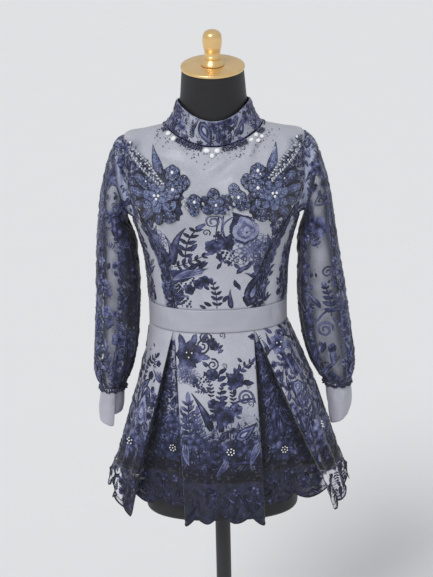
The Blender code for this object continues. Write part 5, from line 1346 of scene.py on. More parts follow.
for part in ("front", "back_left", "back_right"):
    zs = heights if part == "front" else np.sort(np.append(heights, (ZIP_END + SEAM, ZIP_END - SEAM)))[::-1]
    grid = peplum_grid(part, zs)
    drop = (WAIST_BOTTOM - grid[..., 2]) / (WAIST_BOTTOM - HEM)
    lace_and_shade = 0.18 + 0.62 * spread(drop, 0.35, 0.8) + 0.52 * spread(drop, 0.6, 0.88)
    lace_and_shade = lace_and_shade + 0.05 * np.sin(40 * grid[..., 0]) + 0.55 * spread(drop, 0.885, 0.93)
    lace_and_shade = lace_and_shade + 0.24 * spread(grid[..., 0], 0.1, 0.15) * (1 - spread(drop, 0.5, 0.8))
    # The pleats' returns get their painted shade here, as a share past 1.
    shade = join_halves(part, pleat_shade)
    lace_and_shade = lace_and_shade + (np.maximum(shade, lace_and_shade) - lace_and_shade) * spread(drop, 0.02, 0.12)
    piece = new_cloth("skirt_" + part, grid, lace_satin, CLOTH, values={"lace_and_shade": lace_and_shade})
    work = Embroidery(Ground(grid))
    # Threads are painted darker where the share passes 1: as shade in the pleats' returns, and with the close
    # dark work by the hem.
    work.painted_thread_shade = 0.7 * np.clip(lace_and_shade - 1.0, 0, 1)
    if part == "front":
        work.sew(PEPLUM_MOTIFS)
    else:
        work.scatter("branch drop rosette fern scroll fan", towards_hem, 0.06, 51 + len(part), 0.4,
                     (0.6, 0.9), 5.0, 0.05)
    seed = 60 + 3 * len(part)
    work.scatter("fern branch_small bloom blade drop_small fan", lambda p, r, c: spread(r, 0.58, 0.8), 0.026,
                 seed, 0.6, (0.7, 1.0), 2.0)
    work.scatter("branch_small drop_small blade_small flower", on_side_panels, 0.018, seed + 1, 0.4,
                 (0.8, 1.1), 1.5, 0.15)
    work.scatter(SMALL, towards_hem, 0.01, seed + 2, 0.9, (0.6, 1.0), 1.5)
    stitched = work.piece("embroidery_peplum_" + part, thread_finish)
    for made in (piece, stitched):
        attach(made, "root")
    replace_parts(piece, "peplum_" + part)
    width, length, area = peplum_cuts[part]
    peplum_pieces[part] = piece


# ---- lace border
# Sheer navy tulle that hangs below the lining's hem all the way round, cut along the scallops
# of its own embroidery, each edged with a dark cord.
BORDER_COLUMNS = (6, 2, 8, 2, 14)
BORDER_FINE, BORDER_ROWS = 6, 15
HEM_CORD, INNER_CORD = 0.0038, 0.0016
SCALLOP_COLUMNS, SCALLOP_DEPTH, SCALLOP_ROUND, BORDER_FLARE = 4, 0.02, 0.7, 0.8
BORDER_DROPS = (0.07, 0.086, 0.07, 0.064, 0.084, 0.038)
NET_INSET = 0.0005                              # the single layer hangs mid-way through its wall


def sheer_tulle():
    """Embroidered tulle with nothing behind: fine net to look through, and solid thread. Where a
    satin stay backs it, at the sleeve's head, the net shows the satin instead."""
    finish, tree, shader = new_finish("sheer_embroidered_tulle", Roughness=0.6, Sheen_Weight=0.15)
    place = add(tree, "UVMap", uv_map="cloth")
    # The share of lace, which past 1 also carries painted shade.
    share = add(tree, "Attribute", attribute_name="lace_and_shade", out="Fac")
    marks = lace_marks(tree, place, share)
    net = add(tree, "TexVoronoi", {"Vector": place, "Scale": 420.0}, feature="DISTANCE_TO_EDGE")  # 2.4 mm
    mesh = add(tree, "MapRange", {0: net, 1: 0.04, 2: 0.16, 3: 0.28, 4: 0.03})
    closed = add(tree, "MapRange", {0: share, 1: 0.34, 2: 0.94, 3: 0.0, 4: 0.92})
    thread = thread_colour(tree, place, add(tree, "MapRange", {0: share, 3: 0.34, 4: -0.05}))
    stay = add(tree, "Attribute", attribute_name="stay", out="Fac")
    paler = add(tree, "MapRange", {0: stay, 1: 0.0, 2: 0.6})
    ground = add(tree, "Mix", {0: paler, 6: "#1e2440", 7: "#9ca3bd"})
    shade = add(tree, "Mix", {0: marks, 6: ground, 7: thread})
    veil = add(tree, "Math", {0: closed, 1: mesh}, operation="MAXIMUM")
    solid_stay = add(tree, "MapRange", {0: stay, 1: 0.3, 2: 1.0})
    backed = add(tree, "Math", {0: solid_stay, 1: veil}, operation="MAXIMUM")
    solid = add(tree, "Math", {0: marks, 1: backed}, operation="MAXIMUM")
    bump = add(tree, "Bump", {"Height": marks, "Strength": 0.5, "Distance": 0.0006})
    # Past a share of 1 the colour is painted darker: shade on the sleeves' body side, and the border's close
    # dark net.
    plug(shader, Base_Color=darker_net_and_painted_shade(tree, shade, share), Alpha=solid, Normal=bump)
    return finish


tulle_finish = sheer_tulle()
border_down = np.linspace(0, 1, BORDER_ROWS)
border_cuts = {"front": (0.98, 0.098, 0.064), "back_left": (0.5, 0.098, 0.033),
               "back_right": (0.47, 0.098, 0.0305)}
fine_columns = tuple(BORDER_FINE * count for count in BORDER_COLUMNS)
corner_at = np.concatenate(([0], np.cumsum(BORDER_COLUMNS)))
stations = np.linspace(0, corner_at[-1], BORDER_FINE * corner_at[-1] + 1)


def along_border(hand):
    drops = np.interp(stations, corner_at, BORDER_DROPS)
    rounder = np.convolve(np.pad(drops, 9, "edge"), np.hanning(19) / np.hanning(19).sum(), "valid")
    return np.stack((stations, rounder), 1)


for part in ("front", "back_left", "back_right"):
    drops = join_halves(part, along_border)[:, 1]
    wave = np.abs(np.sin(pi * np.arange(len(drops)) / BORDER_FINE / SCALLOP_COLUMNS)) ** SCALLOP_ROUND
    rows = []
    for share in border_down:
        top = HEM - SEAM
        plan = peplum_row(top - max(drops) * share * BORDER_FLARE, part, fine_columns)
        rows.append(np.column_stack((plan, top - share * (drops + share * SCALLOP_DEPTH * (wave - 0.5)))))
    grid = np.array(rows)
    grid = grid - directions(grid) * NET_INSET
    lace_and_shade = 1.28 + 0.15 * border_down[:, None] ** 2 + 0.1 * np.sin(np.arange(len(drops)) / 5.0)
    pale = spread(np.abs(grid[..., 0]), 0.2, 0.21) * spread(grid[..., 2], 0.672, 0.664)
    lace_and_shade = np.clip(lace_and_shade - 0.78 * pale, 0, 1.6)
    piece = new_cloth("net_border_" + part, grid, tulle_finish, values={"lace_and_shade": lace_and_shade, "stay": 0.45 * pale})
    work = Embroidery(Ground(grid))
    work.cord(BORDER_ROWS - 1.35, np.arange(len(drops)), HEM_CORD, -0.3)
    work.cord(BORDER_ROWS - 2.8, np.arange(len(drops)), INNER_CORD, 0.1)
    seed = 80 + 3 * len(part)
    work.scatter("blade_small fern_small flower leaf", lambda p, r, c: 0.4 if abs(p[0]) > 0.195 else 0.8,
                 0.013, seed, 0.7, (0.7, 1.0), 1.2, -0.2, turn=pi)
    stitched = work.piece("embroidery_border_" + part, thread_finish)
    for made in (piece, stitched):
        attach(made, "root")
    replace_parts(piece, "lace_border_" + part)
    width, length, area = border_cuts[part]


# ---- sleeves
# Long bishop sleeves of embroidered tulle, set into the armholes and gathered into the
# cuffs, over narrow satin linings that show through. Towards the body the embroidery closes
# up, and tulle and threads are painted darker, to nearly black, as the shadow they lie in.
# A satin stay backs the head.
RIGHT_SLEEVE = (
    # out_x, out_z, in_x, in_z, depth, y_mid, gather
    (0.1945, 1.346, 0.1735, 1.1995, 0.062, -0.003, 0.0), (0.207, 1.3215, 0.177, 1.196, 0.067, 0.0, 0.0),
    (0.219, 1.285, 0.1783, 1.189, 0.068, 0.0, 0.0), (0.228, 1.244, 0.1765, 1.179, 0.067, 0.0, 0.0),
    (0.235, 1.2, 0.169, 1.163, 0.0655, 0.0, 0.0), (0.24, 1.155, 0.1615, 1.14, 0.0645, 0.0, 0.0),
    (0.245, 1.09, 0.158, 1.085, 0.063, 0.0, 0.0005), (0.248, 1.03, 0.158, 1.03, 0.062, 0.0, 0.001),
    (0.2535, 0.955, 0.163, 0.955, 0.063, 0.0, 0.0018), (0.2565, 0.895, 0.1745, 0.895, 0.061, 0.0, 0.0028),
    (0.254, 0.86, 0.187, 0.86, 0.052, 0.0, 0.0034), (0.246, 0.836, 0.197, 0.836, 0.039, 0.0, 0.002),
)
LEFT_SLEEVE = (
    # out_x, out_z, in_x, in_z, depth, y_mid, gather
    (0.1945, 1.344, 0.1735, 1.1995, 0.062, -0.003, 0.0), (0.207, 1.3205, 0.177, 1.196, 0.067, 0.0, 0.0),
    (0.219, 1.284, 0.1783, 1.189, 0.068, 0.0, 0.0), (0.228, 1.243, 0.1765, 1.179, 0.067, 0.0, 0.0),
    (0.235, 1.199, 0.169, 1.162, 0.0655, 0.0, 0.0), (0.241, 1.155, 0.1638, 1.138, 0.0645, 0.0, 0.0),
    (0.2515, 1.09, 0.1635, 1.088, 0.063, 0.0, 0.0005), (0.262, 1.03, 0.1625, 1.03, 0.062, 0.002, 0.001),
    (0.2715, 0.955, 0.169, 0.955, 0.063, 0.004, 0.0018), (0.279, 0.895, 0.185, 0.895, 0.061, 0.006, 0.0028),
    (0.2765, 0.858, 0.202, 0.858, 0.052, 0.008, 0.0034), (0.271, 0.833, 0.219, 0.833, 0.039, 0.01, 0.002),
)
ARMHOLE_ROWS = (2.0, 2.25, 2.7, 3.3, 3.9, 4.4, 4.8, 5.0)
SLEEVE_SQUARE, LINING_SQUARE = 2.3, 2.1
SLEEVE_HEAD_OUT, UNDERARM_ARCH, SHOULDER_DROP, ARMHOLE_GAP = 0.005, 0.004, 0.0015, 0.0005
SLEEVE_TURNS, SLEEVE_FINE, SLEEVE_STEPS = 28, 4, 9
LINING_CLOTH = 0.001
LINING_INSET = (
    # ring, inset from the outer sleeve
    (1.0, 0.006), (3.0, 0.008), (5.0, 0.012), (7.0, 0.0165), (9.0, 0.018), (10.0, 0.014), (11.0, 0.0075),
)
# Folds in a sleeve: where round it (0 outer side, 0.25 front, 0.5 body side), where down it
# (0 armhole, 1 cuff), how far they drift round on the way, half widths and height.
SLEEVE_FOLDS = (
    # round, down, drift, wide, long, high
    (0.1, 0.1, 0.1, 0.035, 0.1, 0.003), (0.2, 0.2, 0.08, 0.04, 0.14, -0.003),
    (0.33, 0.3, -0.1, 0.035, 0.16, 0.003), (0.27, 0.55, 0.06, 0.045, 0.2, -0.0032),
    (0.13, 0.6, -0.05, 0.035, 0.22, 0.003), (0.4, 0.62, 0.05, 0.04, 0.2, 0.0025),
    (0.05, 0.8, 0.03, 0.03, 0.16, -0.0028), (0.21, 0.85, 0.03, 0.025, 0.13, 0.003),
    (0.3, 0.88, 0.02, 0.022, 0.12, -0.0028), (0.37, 0.86, -0.03, 0.024, 0.12, 0.0026),
    (0.63, 0.3, 0.08, 0.045, 0.16, 0.0028), (0.8, 0.45, -0.08, 0.045, 0.2, -0.003),
    (0.7, 0.7, 0.05, 0.04, 0.2, 0.003), (0.88, 0.75, 0.05, 0.035, 0.18, 0.0028),
    (0.6, 0.86, 0.03, 0.025, 0.13, -0.0026), (0.75, 0.88, -0.03, 0.025, 0.12, 0.0028),
)


def armhole_edge(places, hand):
    """Points of the armhole's edge, 0 to 14 from the shoulder down the front and up the back."""
    points = []
    for place in places:
        front = place <= 7
        row = np.interp(place if front else 14 - place, range(8), ARMHOLE_ROWS)
        swing = radians(lookup(ARMHOLE, row, 1 if front else 2))
        points.append(body_ring(row, np.array((hand * (pi / 2 + (-swing if front else swing)),)))[0])
    points = np.array(points)
    inward = points.mean(0) - points
    return points + inward / np.linalg.norm(inward, axis=1, keepdims=True) * ARMHOLE_GAP


def sleeve_ring(table, place, hand, turns, inset=0.0, square=SLEEVE_SQUARE, ruffled=True):
    """A ring of a sleeve. Turns run from the outer side over the front to the inner side."""
    out_x, out_z, in_x, in_z, depth, y_mid, gather = between(table, place)
    outer, inner = np.array((hand * out_x, 0.0, out_z)), np.array((hand * in_x, 0.0, in_z))
    length = np.linalg.norm(outer - inner)
    c, s, power = np.cos(turns), np.sin(turns), 2 / square
    wave = -gather * np.cos(SLEEVE_TURNS / 2 * turns) if ruffled else 0.0
    reach = (length / 2 - inset + wave) * np.sign(c) * np.abs(c) ** power
    return ((outer + inner) / 2 + np.array((0.0, y_mid, 0.0)) + ((outer - inner) / length) * reach[:, None]
            - np.array((0.0, 1.0, 0.0)) * ((depth - inset + wave) * np.sign(s) * np.abs(s) ** power)[:, None])


def folded(grid, folds, hand):
    """Soft folds pressed into a tube that starts at its outer side."""
    high, wide = grid.shape[:2]
    down = np.linspace(0, 1, high)[:, None]
    around = np.arange(wide)[None, :] / wide
    around = around if hand < 0 else 1 - around
    move = np.zeros((high, wide))
    for turn, at, drift, narrow, long, push in folds:
        off = around - turn - drift * (down - at) / long
        off -= np.round(off)
        move += push * np.exp(-(off / narrow) ** 2 - ((down - at) / long) ** 2)
    move *= np.minimum(1, np.minimum(down / 0.06, (1 - down) / 0.03))
    return grid + directions(grid, True) * move[..., None]


def wound(rows, hand):
    """Rows as a grid that goes round from left to right seen from outside."""
    return np.array(rows)[:, ::-hand]


def from_body(grid):
    """How far each point of a sleeve is from its body side (0) to its outer side (1)."""
    x = np.abs(grid[..., 0])
    low, high = x.min(1, keepdims=True), x.max(1, keepdims=True)
    return (x - low) / (high - low)


# Lace share from the body side to the outer side, where a vine runs down: over 1 is painted shade.
SLEEVE_LACE = {
    "right": ((0, 0.22, 0.42, 0.54, 0.64, 0.76, 0.86, 1), (1.65, 1.45, 0.9, 0.35, 0.04, 0.15, 0.8, 0.95)),
    "left": ((0, 0.08, 0.18, 0.32, 0.62, 0.74, 0.86, 1), (1.7, 1.35, 0.65, 0.14, 0.08, 0.35, 0.8, 0.95)),
}
SLEEVE_MOTIFS = {
    "right": {
        "flower": ((-2068, 12083, -2065, 12173, -0.1), (-2265, 10097, -2260, 10202, 0.2)),
        "bloom": ((-1861, 11639, -1856, 11768, -0.1), (-2009, 9500, -2003, 9648, -0.1)),
        "leaf": ((-2167, 10967, -2136, 11098, -0.1), (-1912, 12844, -1944, 12668, 0.2),
            (-1979, 13023, -1852, 13095, 0.2), (-2241, 9717, -2134, 9884, 0.2)),
        "branch_small": ((-2142, 10359, -2226, 10758, 0.2), (-2143, 9743, -2201, 10174, 0.1),
            (-2179, 8821, -2322, 9252, 0.1)),
        "blade": ((-1813, 12205, -1917, 12718, 0.1),),
        "curl": ((-1768, 11455, -1765, 11533, 0.3), (-1832, 9390, -1907, 9540, 0.3)),
        "curl_small": ((-1851, 13121, -1799, 13170, 0.2),),
        "scroll": ((-1959, 9244, -1954, 9371, 0.2),),
    },
    "left": {
        "branch": ((2272, 9891, 2113, 10629, -0.1, -1),),
        "scroll": ((2142, 9601, 2142, 9757, 0.05),),
        "stem": ((1994, 9780, 2551, 9923, 0.1),),
        "blade": ((2050, 10071, 1707, 10388, 0.15, -1),),
        "curl": ((2198, 10818, 2271, 10912, -0.1), (2511, 10581, 2511, 10650, 0.2),
            (2053, 12291, 2125, 12382, -0.05)),
        "berries": ((2309, 10605, 2308, 10720, -0.05),),
        "leaf": ((2124, 9149, 2049, 9328, -0.1), (2086, 9091, 2142, 9287, -0.1),
            (1851, 11623, 1780, 11999, 0.2), (1999, 12588, 1999, 12809, -0.1), (2330, 8827, 2329, 9105, 0.2)),
        "flower": ((2292, 9204, 2292, 9303, -0.1), (2107, 12770, 2107, 12862)),
        "branch_small": ((1997, 11318, 1961, 11771, 0.05), (2551, 9884, 2364, 10315, 0.1)),
        "bloom": ((1997, 11770, 1998, 11957), (2368, 8427, 2368, 8627, -0.2)),
        "curl_small": ((1835, 12222, 1889, 12276, 0.1),),
    },
}
turns = 2 * pi * np.arange(SLEEVE_TURNS * SLEEVE_FINE) / (SLEEVE_TURNS * SLEEVE_FINE)
for word, hand, table in (("right", -1, RIGHT_SLEEVE), ("left", 1, LEFT_SLEEVE)):
    edge = armhole_edge(turns / (2 * pi) * 14, hand)
    low = (1 - np.cos(turns)) / 2
    head = edge + np.stack((np.full(len(turns), hand * SLEEVE_HEAD_OUT), np.zeros(len(turns)),
                            UNDERARM_ARCH * low - SHOULDER_DROP * (1 - low)), 1)
    rings = np.array([edge, head] + [sleeve_ring(table, k, hand, turns) for k in range(len(table))])
    steps = SLEEVE_STEPS * (len(rings) - 1)
    grid = wound([between(rings, k / SLEEVE_STEPS) for k in range(steps + 1)], hand)
    grid = folded(grid, SLEEVE_FOLDS, hand)
    grid = grid - directions(grid, True) * NET_INSET
    share = from_body(grid)
    down = np.linspace(0, 1, len(grid))[:, None]
    mottle = 0.12 * np.sin(21 * down + 3 * turns) + 0.1 * np.sin(5 * turns - 13 * down)
    lace_and_shade = np.interp(share, *SLEEVE_LACE[word]) + mottle
    upper = 0.28 + 0.24 * np.sin(34 * down + 2.2 * np.sin(3 * turns))
    upper = upper + 0.3 * (1 - spread(share, 0.0, 0.3)) * down / 0.3
    upper = upper + 0.22 * spread(share, 0.75, 0.92)
    lace_and_shade = np.maximum(upper + (lace_and_shade - upper) * spread(down, 0.22, 0.36), 0.0) + 0.6 * spread(down, 0.95, 1.0)
    stay = 0.3 + 0.7 * (1 - spread(down + 0.02 * np.sin(3 * turns), 0.13, 0.22)) + 0 * share
    sleeve = new_cloth("net_sleeve_" + word, grid, tulle_finish, closed=True,
                       values={"lace_and_shade": lace_and_shade, "stay": stay})

    lining_turns = np.linspace(0, 2 * pi, 60, endpoint=False)
    rows = [sleeve_ring(table, place, hand, lining_turns, lookup(LINING_INSET, place), LINING_SQUARE, False)
            for place in np.linspace(1, 11, 46)]
    lining_folds = [(turn + 0.06, at, -drift, narrow * 1.3, long, push * 0.7)
                    for turn, at, drift, narrow, long, push in SLEEVE_FOLDS]
    tube = folded(wound(rows, hand), lining_folds, hand)
    lining = new_cloth("satin_sleeve_" + word, tube, satin_finish, LINING_CLOTH, closed=True)

    work = Embroidery(Ground(grid, True))
    # Threads are painted darker as shade towards the body side, and a little lighter elsewhere.
    work.painted_thread_shade = 0.9 * np.clip(lace_and_shade - 0.9, 0, 1) - 0.12
    work.sew(SLEEVE_MOTIFS[word])
    high, wide = grid.shape[:2]

    def lying(low, full, beyond=0.0):
        """Where the lace is close, and only farther out than a distance."""
        return lambda p, r, c: (spread(lace_and_shade[int(r * (high - 1)), int(c * (wide - 1))], low, full)
                                * (abs(p[0]) > beyond))
    work.scatter("blade_small drop_small branch_small flower", lying(0.5, 0.75, 0.225), 0.015, 100 + hand,
                 0.35, (0.7, 1.0), 1.0, 0.15, 0.5)
    work.scatter("branch_small fern drop_small bloom blade curl", lying(0.3, 0.9), 0.028, 101 + hand, 0.6,
                 (0.7, 1.0), 3.0)
    work.scatter(SMALL, lying(0.05, 0.8), 0.014, 102 + hand, 0.9, (0.55, 0.95), 1.0)
    stitched = work.piece("embroidery_sleeve_" + word, thread_finish)
    for made in (sleeve, lining, stitched):
        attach(made, "root")
    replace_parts(sleeve, "sleeve_" + word)
    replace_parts(lining, "sleeve_lining_" + word)


# ---- cuffs
# Plain doubled satin, shaped over the hand, its buttoned end lapped over the other and cut
# to a soft point. The sleeve's gathers end above it in a frill of their own scalloped edge.
RIGHT_CUFF = (
    # z, out_x, in_x, depth, y_mid
    (0.8357, 0.2455, 0.1975, 0.037, 0.0), (0.815, 0.249, 0.1985, 0.0375, 0.0),
    (0.793, 0.253, 0.2, 0.0385, 0.0), (0.78, 0.253, 0.203, 0.039, 0.0),
)
LEFT_CUFF = (
    # z, out_x, in_x, depth, y_mid
    (0.8327, 0.2705, 0.2195, 0.037, 0.01), (0.81, 0.275, 0.221, 0.0375, 0.01),
    (0.785, 0.275, 0.224, 0.0385, 0.01), (0.768, 0.269, 0.229, 0.037, 0.01),
)
CUFF_CLOTH, CUFF_LAP, CUFF_LAP_LIFT, CUFF_LAP_FLARE, CUFF_TIP = 0.0018, radians(45), 0.003, 0.8, 0.026
CUFF_LAP_START = {"right": radians(60), "left": radians(100)}
CUFF_CREASES = {
    "right": ((-0.24, 0.83, -0.233, 0.79, 0.005, -0.0024), (-0.23, 0.825, -0.22, 0.8, 0.005, 0.0022),
              (-0.212, 0.832, -0.206, 0.795, 0.004, -0.002)),
    "left": ((0.26, 0.826, 0.252, 0.79, 0.005, 0.0026), (0.25, 0.825, 0.236, 0.79, 0.006, -0.0028),
             (0.24, 0.82, 0.23, 0.785, 0.005, 0.0024), (0.268, 0.82, 0.262, 0.785, 0.004, -0.002)),
}
CUFF_ROWS, CUFF_COLUMNS = 19, 169
FRILL_ROWS, FRILL_COLUMNS = 7, 300


def cuff_row(hand, ring, reach, turns, z):
    """Points round a cuff, a reach outside its ring."""
    out_x, in_x, depth, y_mid = ring
    return np.stack((hand * ((out_x + in_x) / 2 + ((out_x - in_x) / 2 + reach) * np.cos(turns)),
                     y_mid - (depth + reach) * np.sin(turns), z), 1)


for word, hand, table in (("right", -1, RIGHT_CUFF), ("left", 1, LEFT_CUFF)):
    turned_by = np.linspace(0, 2 * pi + CUFF_LAP, CUFF_COLUMNS)
    turn = CUFF_LAP_START[word] + turned_by
    lap = spread(turned_by, 2 * pi - CUFF_LAP, 2 * pi)
    hang = np.clip((turned_by - pi) / (pi + CUFF_LAP), 0, None) ** 2 * CUFF_TIP
    downs = np.linspace(0, 1, CUFF_ROWS)
    rows = []
    for down in downs:
        z, *ring = between(table, 3 * down)
        lift_out = CUFF_LAP_LIFT * lap * (1 + CUFF_LAP_FLARE * down)
        rows.append(cuff_row(hand, ring, lift_out, turn, z - hang * down))
    grid = wound(rows, hand)
    ends = np.minimum(np.arange(CUFF_COLUMNS), np.arange(CUFF_COLUMNS)[::-1]) / 8
    rounded = (1 - np.sqrt(np.clip(1 - (1 - np.minimum(ends, 1)) ** 2, 0, 1))) * 0.006
    grid[..., 2] += rounded[None, :] * downs[:, None] ** 3
    grid = crumpled(grid, CUFF_CREASES[word], -1)
    cuff = new_cloth("cuff_satin_" + word, grid, satin_finish, CUFF_CLOTH)

    places = np.linspace(0, 2 * pi, FRILL_COLUMNS, endpoint=False)
    z, *ring = table[0]
    rows = []
    for down in np.linspace(0, 1, FRILL_ROWS):
        ruffle = 0.0016 * down * np.sin(34 * places + 1.3 * np.sin(3 * places))
        fall = 0.007 * down * (1 + 0.25 * np.sin(11 * places)) - 0.0018 * (1 - down)
        rows.append(cuff_row(hand, ring, 0.0022 + 0.003 * down + ruffle, places, z - fall))
    ruffle_grid = wound(rows, hand)
    frill = new_cloth("cuff_frill_" + word, ruffle_grid, tulle_finish, closed=True,
                      values={"lace_and_shade": np.full(ruffle_grid.shape[:2], 0.95)})
    work = Embroidery(Ground(ruffle_grid, True))
    work.cord(FRILL_ROWS - 1.6, np.arange(FRILL_COLUMNS + 1), SEAM_CORD, -0.2)
    for k in range(0, FRILL_COLUMNS, 9):
        work.stitch("leaf", FRILL_ROWS - 2.2, k + 0.5, pi, 0.38, 1, 0.1 * (k % 3))
    stitched = work.piece("embroidery_frill_" + word, thread_finish)
    for made in (cuff, frill, stitched):
        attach(made, "root")
    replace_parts(cuff, "cuff_" + word)


# ---- bust applique
# Flowers cut out of corded, beaded tulle and sewn on over a padded patch on each bust point,
# joined by a chain of flowers between. Petals are thick with couched rayon, each with a
# raised rim, and stand two to four millimetres off the bodice.
CLUSTER_MIDDLE = (0.106, 1.261)
CLUSTER_OUTLINE = (
    # angle, radius
    (0, 0.048), (25, 0.056), (45, 0.064), (62, 0.05), (85, 0.039), (108, 0.047), (128, 0.056), (150, 0.048),
    (175, 0.045), (200, 0.042), (225, 0.056), (245, 0.056), (268, 0.048), (290, 0.058), (312, 0.056),
    (336, 0.044), (360, 0.048),
)
CHAIN_MIDDLE = (0.002, 1.245)
CHAIN_OUTLINE = (
    (0, 0.04), (20, 0.039), (40, 0.023), (65, 0.015), (90, 0.018), (115, 0.015), (140, 0.021), (160, 0.034),
    (180, 0.037), (205, 0.03), (230, 0.018), (255, 0.019), (275, 0.021), (300, 0.017), (325, 0.022),
    (345, 0.033), (360, 0.04),
)
APPLIQUE_LIFT, CHAIN_LIFT, APPLIQUE = 0.001, 0.0022, 0.0022


class Front(Embroidery):
    """Pieces laid on the whole front of the bodice, drawn as they are seen from the front."""

    def lay(self, shape, x, z, turn=0.0, size=1.0, flip=1, tint=0.0, lift=0.0):
        """Lays a shape so that it is seen undistorted from the front."""
        points, faces, shade, measures = placed(shape, x, z, turn, size, flip, lift)
        here, out = self.ground.at(*self.ground.locate(points[:, 0], points[:, 1]))
        self.shapes.append((here + out * points[:, 2:], faces, shade + tint, measures))


def sheet_shape(across, up, out, tint):
    """A shape from grids of its measures, with its rim turned down to the cloth."""
    high, wide = across.shape
    points = np.stack((across, up, out), -1).reshape(-1, 3)
    faces = grid_faces(high, wide, False)
    return points, faces, np.broadcast_to(tint, (high, wide)).ravel().copy(), points[:, :2].copy()


def petal(length, width, pad=0.0016, tint=0.3, ragged=0.0, round_end=0.55, rim=True):
    """A thick petal growing upwards: domed, ribbed along its length, with a raised dark rim."""
    u, v = np.linspace(0, 1, 11)[::-1, None], np.linspace(-1, 1, 9)[None, :]
    reach = width / 2 * np.sin(pi * np.clip(u * 0.94 + 0.03, 0, 1)) ** round_end
    reach = reach * (1 + ragged * np.sin(26 * u))
    dome = pad * np.sin(pi * np.clip(u * 0.9 + 0.08, 0, 1)) ** 0.5 * (1 - 0.55 * v * v)
    edge = np.maximum(np.abs(v), np.abs(2 * u - 1) ** 3)
    lip = pad * 0.45 * np.exp(-((edge - 0.8) / 0.12) ** 2) * rim
    ribs = pad * 0.16 * np.cos(5 * pi * v) * (1 - edge)
    out = (dome + lip + ribs) * (1 - np.clip((edge - 0.86) / 0.14, 0, 1) ** 2 * 1.25)
    shade = tint + 0.45 * (1 - edge) - np.clip((edge - 0.62) / 0.34, 0, 1)
    shade = shade + 0.25 * np.cos(4 * pi * v) * u - 0.35 * (1 - u) ** 2
    return sheet_shape(reach * v, length * u + 0 * v, out, shade)


def padded_flower(radius, petals=5, tint=0.3, pad=0.0016, layers=2, ragged=0.0, turn=0.0, width=1.0):
    """A flower of thick overlapping petals around a sunk heart."""
    shapes = []
    for layer in range(layers):
        reach = radius * (1 - 0.4 * layer)
        for i in range(petals):
            blade_width = 2.2 * reach * sin(pi / petals) * width
            one = petal(reach, blade_width, pad, tint + 0.1 * (i % 2) + 0.12 * layer, ragged)
            shapes.append(placed(one, 0, 0, turn + 2 * pi * (i + 0.5 * layer) / petals, 1, 1,
                                 0.0009 * layer + 0.00035 * (i % 2)))
    shapes.append(placed(petal(radius * 0.34, radius * 0.34, pad * 1.2, tint - 0.45, 0, 0.5, False),
                         0, -radius * 0.17, 0, 1, 1, 0.0012))
    return together(shapes)


def patch(outline, lift):
    """The padded ground of a cluster, lobed along its edge."""
    share, turn = np.linspace(0, 1, 14)[::-1, None], np.linspace(0, 2 * pi, 121)[None, :]
    keys = np.array(outline)
    radius = np.interp(np.degrees(turn), keys[:, 0], keys[:, 1]) * (1 + 0.05 * np.sin(22 * turn) * share)
    height = lift + (APPLIQUE - 0.0008) * (1 - share ** 4) + 0.0004 * np.sin(30 * turn) * share
    shade = 0.05 + 0.12 * np.sin(11 * turn + 5 * share)
    grid = sheet_shape(share * radius * np.cos(turn) * -1, share * radius * np.sin(turn), height, shade)
    return grid


front_rows = np.linspace(0, WAIST_ROW, 150)
front_ground = Ground(np.array([body_ring(row, np.linspace(-1.5, 1.5, 181)) for row in front_rows]))
# Flowers and leaves of a cluster, for the wearer's left and mirrored for the right:
# shape, place, turn in degrees, how much lighter, how far off the patch.
CLUSTER = (
    (petal(0.046, 0.026, 0.0016, 0.2, 0.06), 0.118, 1.268, -52, 0.0, 0.0008),
    (petal(0.044, 0.024, 0.0016, 0.28, 0.06), 0.123, 1.26, -82, 0.0, 0.0012),
    (petal(0.04, 0.024, 0.0016, 0.12, 0.06), 0.118, 1.25, -110, 0.0, 0.0008),
    (petal(0.044, 0.026, 0.0016, 0.18, 0.08), 0.112, 1.245, -142, 0.0, 0.001),
    (petal(0.04, 0.022, 0.0016, 0.1, 0.08), 0.104, 1.242, -172, 0.0, 0.0008),
    (petal(0.03, 0.02, 0.0016, 0.15, 0.08), 0.093, 1.248, 165, 0.0, 0.0012),
    (petal(0.034, 0.02, 0.0016, 0.22, 0.06), 0.112, 1.275, -20, 0.0, 0.0014),
    (blade(0.052, 0.0185, -0.26, 0.3), 0.101, 1.296, -34, 0.1, -0.0019),
    (padded_flower(0.012, 5, 0.45, 0.0014, 1), 0.0885, 1.244, 15, 0.0, 0.0),
    (curl(0.0125, 0.8, 0.004, 0.9), 0.088, 1.244, 140, 0.1, 0.0022),
    (padded_flower(0.011, 5, 0.5, 0.0014, 1), 0.125, 1.242, 30, 0.0, 0.0016),
    (padded_flower(0.015, 6, 0.15, 0.0016, 1, 0.1), 0.089, 1.222, 0, 0.0, -0.0004),
    (padded_flower(0.029, 7, 0.38, 0.0018, 2, 0.12, 0.3, 0.9), 0.109, 1.256, 10, 0.0, 0.0018),
    (padded_flower(0.0135, 5, 0.18, 0.0018, 1), 0.062, 1.283, 20, 0.05, 0.0004),
    (padded_flower(0.015, 6, 0.25, 0.002, 2), 0.0815, 1.298, 0, 0.0, 0.0012),
    (padded_flower(0.0175, 6, 0.15, 0.002, 2), 0.08, 1.27, 25, 0.0, 0.0022),
    (padded_flower(0.01, 5, 0.1, 0.0016, 1), 0.128, 1.285, 0, 0.1, 0.0024),
)
